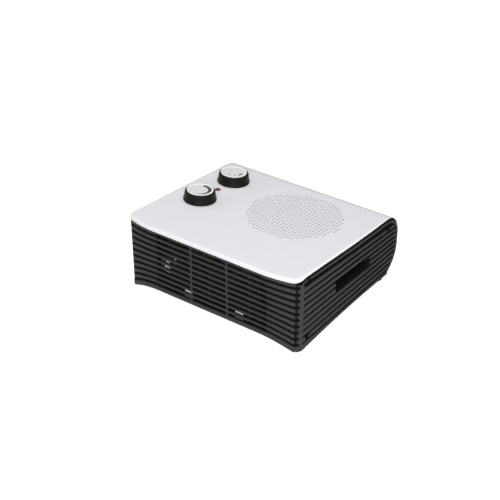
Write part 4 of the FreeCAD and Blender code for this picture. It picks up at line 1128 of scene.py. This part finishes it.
def front_place(column, row, layer):
    place, out, inside, sink, rows = front_columns[column]
    level, share = rows[row]
    low_rib = row < rows_each
    depth = GROOVE_DEPTH * (1 - share) + (0.0 if low_rib else sink * share)
    if inside:
        depth = min(depth, SLAT_DEPTH - SLAT_EDGE)
    if layer == 0:
        depth = SLAT_DEPTH if inside else SKIRT_WALL
    point = place - out * depth
    return (point.x, point.y, level)


louvre = sheet_solid("louvred_front", len(columns), rows_each * (GROOVES + 1), open_cells, front_place)
for x in BARS:
    bar = filleted([
        (x - BAR / 2, BAR_FACE, BAR_SOFT),
        (x + BAR / 2, BAR_FACE, BAR_SOFT),
        (x + BAR / 2, BAR_BACK, 0),
        (x - BAR / 2, BAR_BACK, 0),
    ])
    foot = [Vector((*p, ARCH + BAR_END)) for p in bar]
    height = top_edge(FRONT) - ARCH - 2 * BAR_END
    combine(louvre, outline_solid("bar", foot, (0, 0, height)), "UNION")
soften(louvre, 50)


def ribbed_black(name, middle_x, middle_y, radius):
    """Black plastic with an eroded grain, duller down in the grooves and recesses, where painted shade also
    darkens it. The depth is measured from an outline: a round about a middle on each side, and the straight
    runs that leave it."""
    material, shader, paint = new_finish(name)
    x = paint.maths("ABSOLUTE", coordinate(paint, own_place(paint), "X"))
    y = coordinate(paint, own_place(paint), "Y")
    across = paint.maths("MAXIMUM", x - middle_x, 0.0)
    along = paint.maths("MINIMUM", y - middle_y, 0.0)
    depth = radius - paint.maths("SQRT", across * across + along * along)
    # Painted shade: the colour turns nearly black where the surface lies deep under the outline, in the
    # grooves, slots, recesses and wells.
    painted_shade = risen(paint, depth, SHADE_START_DEPTH, SHADE_STEEP)
    cloudy = clouds(paint)
    fine = grain(paint, 0.0006)
    two_tone(paint, painted_shade, two_tone(paint, cloudy, *RIB_BLACK), GROOVE_SHADE_BLACK).to(shader, "Base Color")
    (0.42 + 0.12 * fine + 0.06 * cloudy + 0.35 * painted_shade).to(shader, "Roughness")
    relief(paint, shader, fine, 0.00004)
    shader.inputs["Specular IOR Level"].default_value = 0.2
    return material


front_black = ribbed_black("front_black", FLAT_X, SKIRT_FRONT + SWEEP_R, SWEEP_R)
hand_over(louvre, "casing", "skirt_black", front_black, "front_grille")


# Side panels
# Two black mouldings, one the mirror of the other. The ribs of the front run on past a plain strip at the
# corner and end at a thin bead along the edge. Each has a hand recess, and wells for the screws that hold
# it to the tray's posts.

JOINT_GAP = 0.0002
JOINT_SPAN = 0.62
RIB_SETBACK = 0.00006
# Grooves: height at the corner and at the back, and the run over which it grows
SIDE_GROOVE = (0.0020, 0.0031)
SIDE_GROOVE_RUN = (0.0, 0.12)
# Bead: width, distance from the edge and slope, each along the top and down the back
BEAD = (0.0017, 0.0013)
BEAD_DROP = (0.0034, 0.0045)
BEAD_SLOPE = (0.0007, 0.0038)
# Rows across the bead: distance or share of the slope, and share of the full depth
BEAD_LOW_EDGE = ((0.0009, 1.0), (0.0006, 0.5), (0.0002, 0.12), (-0.0003, 0.0))
BEAD_CREST = 0.0003
BEAD_HIGH_EDGE = ((0.15, 0.1), (0.5, 0.42), (1.0, 1.0))
BEAD_ROWS = len(BEAD_LOW_EDGE) + 1 + len(BEAD_HIGH_EDGE)
BEAD_START = 0.0016
BEAD_START_DEPTH = 0.0003
BEAD_END = math.radians(-76)
RIB_END = 0.0018
RIB_END_TURN = math.radians(-60)
# Plain strip: its run at the corner, then distance and depth of the rows of its edge
STRIP = (-0.0046, -0.0004)
STRIP_DEPTH = 0.0001
STRIP_EDGE = ((0.0009, 1.0), (0.0006, 0.0016), (0.0002, 0.0004), (-0.0004, STRIP_DEPTH))
STRIP_FLAT = 0.001
NO_STRIP = 1.0
LOWEST_RIB_DROP = 0.003
# Strip behind the joint: run and depth of its columns
LAP_STRIP = ((-0.003, 0.0047), (0.0003, 0.0047), (0.001, 0.0042), (0.004, 0.0042))
LAP_BACK = 0.0058
LAP_TOP = 0.001
LAP_FOOT = 0.0005
SIDE_ARCH = 0.0054
ARCH_RUN = (-0.0935, 0.1035)
ARCH_CUT_X = 0.02
ARCH_CUT_Y = 0.13
# Hand recess: place, upper and lower level of its front and back end
GRIP_FRONT = (-0.0287, 0.0573, 0.0394)
GRIP_BACK = (0.0462, 0.0498, 0.0361)
GRIP_DEPTH = 0.014
GRIP_R = 0.0025
GRIP_WALL = 0.002
WELL_R = 0.0046
WELL_DEPTH = 0.009
WELL_WALL = 0.0012
WELL_FLOOR = 0.002
SCREW_HOLE_R = 0.00175
SCREW_HOLE_X = 0.09
OVERLAP = 0.001
WELLS = [(-0.0841, roof(-0.0841) - 0.0103), (-0.0841, 0.0159), (0.0864, roof(0.0864) - 0.0120)]
LAP = 0.0004
PANEL_LAP = LAP * 0.7
BEAD_LAP = LAP * 0.8
PLATE_LEVELS = (-0.01, 0.11)
FULL_TURN = math.pi / 2
CORNER_END_Y = skirt_place(FULL_TURN)[0].y


def side_point(run, depth, z):
    """Point of the right-hand side, at a run along its outline from the end of the corner (less than 0 round
    the corner) and a depth under its outer face."""
    if run >= 0:
        return Vector((SIDE_FACE - depth, CORNER_END_Y + run, z))
    place, out = skirt_place(FULL_TURN + run / SKIRT_R)
    point = place - out * depth
    return Vector((point.x, point.y, z))


def side_levels(run):
    """Levels of the panel's upper edge, its grooves and a line below its lower edge."""
    y = side_point(run, 0, 0).y
    along = (y - JOINT_Y) / (BACK - JOINT_Y)
    levels = [roof(y) - (lip(y) + SEAM + PANEL_LAP) / math.cos(TILT)]
    for share in SHARES:
        front_level = spread(roof(JOINT_Y) - LIP, FLOOR_CLEAR, share)
        back_level = spread(roof(BACK) - LIP, FLOOR_CLEAR, share)
        levels.append(front_level + along * (back_level - front_level))
    levels[-1] -= LOWEST_RIB_DROP
    return levels


def arch_level(y):
    """Height of the shallow arch along the panel's bottom edge."""
    middle, half = (ARCH_RUN[0] + ARCH_RUN[1]) / 2, (ARCH_RUN[1] - ARCH_RUN[0]) / 2
    return max(FLOOR_CLEAR, SIDE_ARCH - (SIDE_ARCH - FLOOR_CLEAR) * ((y - middle) / half) ** 2)


first_run = -(FULL_TURN - JOINT) * SKIRT_R + JOINT_GAP
strip_foot = STRIP_EDGE[0][0]
side_columns = [(run, NO_STRIP) for run in steps(first_run, STRIP[0] - strip_foot, 12)[:-1]]
side_columns += [(STRIP[0] - away, depth) for away, depth in STRIP_EDGE]
side_columns += [(run, STRIP_DEPTH) for run in steps(STRIP[0] + STRIP_FLAT, STRIP[1] - STRIP_FLAT, 4)]
side_columns += [(STRIP[1] + away, depth) for away, depth in reversed(STRIP_EDGE)]
side_columns += [(run, NO_STRIP) for run in steps(STRIP[1] + strip_foot, BACK - CORNER_END_Y, 28)[1:]]


def side_gap(run):
    """Height of the grooves along the side: fine at the corner, wider to the back."""
    if run < STRIP[0]:
        return GROOVE_HEIGHT
    return SIDE_GROOVE[0] + (SIDE_GROOVE[1] - SIDE_GROOVE[0]) * passed(run, *SIDE_GROOVE_RUN)


side_rows = [skirt_rows(side_levels(run), side_gap(run)) for run, depth in side_columns]


def field_place(column, row, layer):
    """Ribs that sink into the plate at their edges and fall back next to the joint. A plain strip crosses
    them at the corner; the top rib of the front ends there."""
    run, strip_depth = side_columns[column]
    level, share = side_rows[column][row]
    sink = 0.0 if row < rows_each else joint_sink(JOINT_SPAN * (run - first_run))
    depth = GROOVE_DEPTH * (1 - share) + sink * share
    top_rib = row >= rows_each * GROOVES
    if share < 0.01 or (top_rib and run > STRIP[1]):
        depth = GROOVE_DEPTH + LAP
    depth = min(depth, strip_depth) if layer else SKIRT_WALL - LAP
    return side_point(max(run, first_run + RIB_SETBACK), depth, level)


def plate_place(column, row, layer):
    """The plain plate behind the ribs, higher and lower than the panel that is cut from it."""
    return side_point(side_columns[column][0], GROOVE_DEPTH if layer else SKIRT_WALL, PLATE_LEVELS[row])


# The thin bead that follows the edge, with a steep side under the lip and a long slope to the back
bead_path = [("top", run, 0.0) for run in steps(STRIP[1] - BEAD_START, BACK - SHOULDER_R - CORNER_END_Y, 24)]
bead_path += [("shoulder", turn, 1 - turn / FULL_TURN) for turn in steps(FULL_TURN - TILT, 0, 16)[1:]]
bead_path += [("lower", turn, 1.0) for turn in steps(0, BEAD_END, 16)[1:]]


def bead_row(row, share):
    """Distance under the panel's edge, and depth, of one row across the bead."""
    drop, width, slope = [a + (b - a) * share for a, b in (BEAD_DROP, BEAD, BEAD_SLOPE)]
    rows = [(drop + width + away, depth) for away, depth in BEAD_LOW_EDGE]
    rows.append((drop + BEAD_CREST, 0.0))
    rows += [(drop - run * slope, depth) for run, depth in BEAD_HIGH_EDGE]
    under, depth = rows[row]
    return under, depth * (GROOVE_DEPTH + LAP)


def bead_place(column, row, layer):
    part, where, share = bead_path[column]
    drop, depth = bead_row(row, share)
    if column == 0:
        depth = max(depth, BEAD_START_DEPTH)
    if layer == 0:
        depth = SKIRT_WALL - BEAD_LAP
    if part == "top":
        point = side_point(where, depth, 0)
        y = side_point(where, 0, 0).y
        return Vector((point.x, point.y, roof(y) - (lip(y) + SEAM + drop) / math.cos(TILT)))
    inset = LIP_BACK + SEAM + drop
    middle, radius = (SHOULDER_MIDDLE, SHOULDER_R) if part == "shoulder" else (LOWER_MIDDLE, LOWER_R)
    return back_place(middle, radius - inset, where) + Vector((SIDE_FACE - depth, 0, 0))


def lap_place(column, row, layer):
    """The strip behind the joint that keeps light out."""
    run, depth = LAP_STRIP[column]
    level = side_levels(first_run)[0] - LAP_TOP if row else FLOOR_CLEAR + LAP_FOOT
    return side_point(first_run + run, depth if layer else LAP_BACK, level)


def grip_solid(name, grow, x, length):
    """The hand recess as a solid, grown all round."""
    y0, top0, low0 = GRIP_FRONT
    y1, top1, low1 = GRIP_BACK
    radius = GRIP_R + grow
    corners = [
        (y0 - grow, low0 - grow, radius),
        (y1 + grow, low1 - grow, radius),
        (y1 + grow, top1 + grow, radius),
        (y0 - grow, top0 + grow, radius),
    ]
    return outline_solid(name, [Vector((x, *p)) for p in filleted(corners)], (length, 0, 0))


panel = sheet_solid("ribbed_side_right", len(side_columns), 2, set(), plate_place)
combine(panel, across_solid("edge", side_outline(SEAM, True)), "INTERSECT")
field = sheet_solid("field", len(side_columns), rows_each * (GROOVES + 1), set(), field_place)
rib_end = side_outline(LIP_BACK + SEAM + BEAD_DROP[1] + BEAD[1] + RIB_END, False, RIB_END_TURN)
combine(field, across_solid("rib end", rib_end), "INTERSECT")
combine(panel, field, "UNION")
combine(panel, sheet_solid("bead", len(bead_path), BEAD_ROWS, set(), bead_place), "UNION")
combine(panel, sheet_solid("lap", len(LAP_STRIP), 2, set(), lap_place), "UNION")
arch = [Vector((ARCH_CUT_X, y, arch_level(y))) for y in steps(-ARCH_CUT_Y, ARCH_CUT_Y, 52)]
arch += [Vector((ARCH_CUT_X, y, BELOW)) for y in (ARCH_CUT_Y, -ARCH_CUT_Y)]
combine(panel, outline_solid("arch", arch, (FAR, 0, 0)), "DIFFERENCE")
pocket_x = SIDE_FACE - GRIP_DEPTH
wall_x = pocket_x - GRIP_WALL
pocket_wall = grip_solid("pocket wall", GRIP_WALL, wall_x, SIDE_FACE - SKIRT_WALL + OVERLAP - wall_x)
combine(panel, pocket_wall, "UNION")
well_x = SIDE_FACE - WELL_DEPTH
tube_x = well_x - WELL_FLOOR
tube_along = (SIDE_FACE - SKIRT_WALL + OVERLAP - tube_x, 0, 0)
for y, z in WELLS:
    combine(panel, round_solid("tube", (tube_x, y, z), tube_along, WELL_R + WELL_WALL, 24), "UNION")
combine(panel, grip_solid("pocket", 0.0, pocket_x, CLEAR_OUT), "DIFFERENCE")
outwards = (CLEAR_OUT, 0, 0)
for y, z in WELLS:
    combine(panel, round_solid("well", (well_x, y, z), outwards, WELL_R, 32), "DIFFERENCE")
    combine(panel, round_solid("screw hole", (SCREW_HOLE_X, y, z), outwards, SCREW_HOLE_R, 16), "DIFFERENCE")
soften(panel, 40)
left_mesh = panel.data.copy()
left_mesh.transform(Matrix.Scale(-1, 4, (1, 0, 0)))
left_mesh.flip_normals()
left_panel = bpy.data.objects.new("ribbed_side_left", left_mesh)
bpy.context.scene.collection.objects.link(left_panel)
side_black = ribbed_black("side_black", SIDE_FACE - SKIRT_R, CORNER_END_Y, SKIRT_R)
hand_over(panel, "casing", "skirt_black", side_black, "side_panel_right")
hand_over(left_panel, "casing", "skirt_black", side_black, "side_panel_left")


# Screws
# Zinc-plated pan heads with a cross recess. Six sit in the wells of the side panels,
# four come up through the tray into the cover's pillars.

SCREW_R = 0.0015
SCREW_LENGTH = 0.012
HEAD_R = 0.0029
HEAD = 0.0022
RECESS = 0.0011
RECESS_ARM = 0.0017
RECESS_HALF = 0.00035
TRAY_LOW = 0.010

screw = turned("screw", filleted([
    (0, -SCREW_LENGTH, 0),
    (SCREW_R * 0.4, -SCREW_LENGTH, 0),
    (SCREW_R, -SCREW_LENGTH * 0.8, 0),
    (SCREW_R, 0, 0),
    (HEAD_R, 0, 0.0002),
    (HEAD_R * 0.94, HEAD, 0.0011),
    (0, HEAD, 0),
]), 32)
for x, y in ((RECESS_ARM, RECESS_HALF), (RECESS_HALF, RECESS_ARM)):
    combine(screw, block("recess", (-x, -y, HEAD - RECESS), (x, y, HEAD + OVERLAP)), "DIFFERENCE")
screw_steel = metal("screw_steel", (0.56, 0.56, 0.57), rough=(0.24, 0.42), mark=0.0016)
side_places = []
for side in (1, -1):
    turn = Matrix.Rotation(side * math.pi / 2, 4, "Y")
    side_places += [Matrix.Translation((side * well_x, y, z)) @ turn for y, z in WELLS]
upside_down = Matrix.Rotation(math.pi, 4, "X")
cover_places = [Matrix.Translation((x, y, TRAY_LOW)) @ upside_down for x, y in PILLARS]
spare = bpy.data.objects.new("spare screw", screw.data.copy())
bpy.context.scene.collection.objects.link(spare)
for name, pattern, places, node in (
    ("side_panel_screws", screw, side_places, "side_screws"),
    ("tray_screws", spare, cover_places, "cover_screws"),
):
    screws = set_of(name, pattern, places)
    soften(screws, 35, False)
    hand_over(screws, "casing", "screw_steel", screw_steel, node)


# Studio
# A white floor that keeps the heater's soft shadow, wide soft lamps, a white backdrop that lights little,
# and the photograph's viewpoint.

FLOOR_SIZE = 12.0
FLOOR_WHITE = (0.9, 0.9, 0.9, 1)
FLOOR_GLOW = (0.78, 0.78, 0.78)
LAMP_AIM = Vector((0, 0, 0.05))
# Lamps: name, place, size, power
LAMPS = (
    ("key_lamp", (0.9, -1.3, 1.1), 1.0, 29.0),
    ("left_lamp", (-1.5, -0.6, 1.0), 1.2, 5.0),
    ("top_lamp", (0.0, 0.3, 1.9), 1.6, 19.6),
)
BACKDROP = (1.0, 1.0, 1.0, 1)
BACKDROP_LIGHT = 0.12
CAMERA_PLACE = Vector((0.6507, -0.9286, 0.7594))
CAMERA_AIM = Vector((-0.00743, -0.0161, 0.045))
CAMERA_LENS = 81.88
CAMERA_FILM = 36.0

bpy.ops.object.select_all(action="DESELECT")
bpy.ops.mesh.primitive_plane_add(size=FLOOR_SIZE, location=(0, 0, 0))
floor = bpy.context.object
floor.name = "floor"
material, shader, paint = new_finish("floor_white")
shader.inputs["Base Color"].default_value = FLOOR_WHITE
shader.inputs["Roughness"].default_value = 0.9
shader.inputs["Emission Strength"].default_value = 1.0
seen = paint.node("ShaderNodeLightPath", {}, {}, "Is Camera Ray")
two_tone(paint, seen, (0, 0, 0), FLOOR_GLOW).to(shader, "Emission Color")
floor.data.materials.append(material)

for name, place, size, power in LAMPS:
    bpy.ops.object.light_add(type="AREA", location=place)
    lamp = bpy.context.object
    lamp.name = name
    lamp.rotation_euler = (LAMP_AIM - Vector(place)).to_track_quat("-Z", "Y").to_euler()
    lamp.data.size = size
    lamp.data.energy = power

world = bpy.data.worlds.new("studio")
bpy.context.scene.world = world
world.use_nodes = True
paint = Paint(world.node_tree)
seen = paint.node("ShaderNodeLightPath", {}, {}, "Is Camera Ray")
light = paint.node("ShaderNodeBackground", {}, {"Color": BACKDROP, "Strength": BACKDROP_LIGHT})
backdrop = paint.node("ShaderNodeBackground", {}, {"Color": BACKDROP})
chosen = paint.node("ShaderNodeMixShader", {}, {0: seen, 1: light, 2: backdrop})
chosen.to(world.node_tree.nodes["World Output"], "Surface")

camera_data = bpy.data.cameras.new("camera")
camera = bpy.data.objects.new("camera", camera_data)
bpy.context.scene.collection.objects.link(camera)
camera.location = CAMERA_PLACE
camera.rotation_euler = (CAMERA_AIM - CAMERA_PLACE).to_track_quat("-Z", "Y").to_euler()
camera_data.lens = CAMERA_LENS
camera_data.sensor_width = CAMERA_FILM
bpy.context.scene.camera = camera
bpy.context.scene.view_settings.view_transform = "Standard"
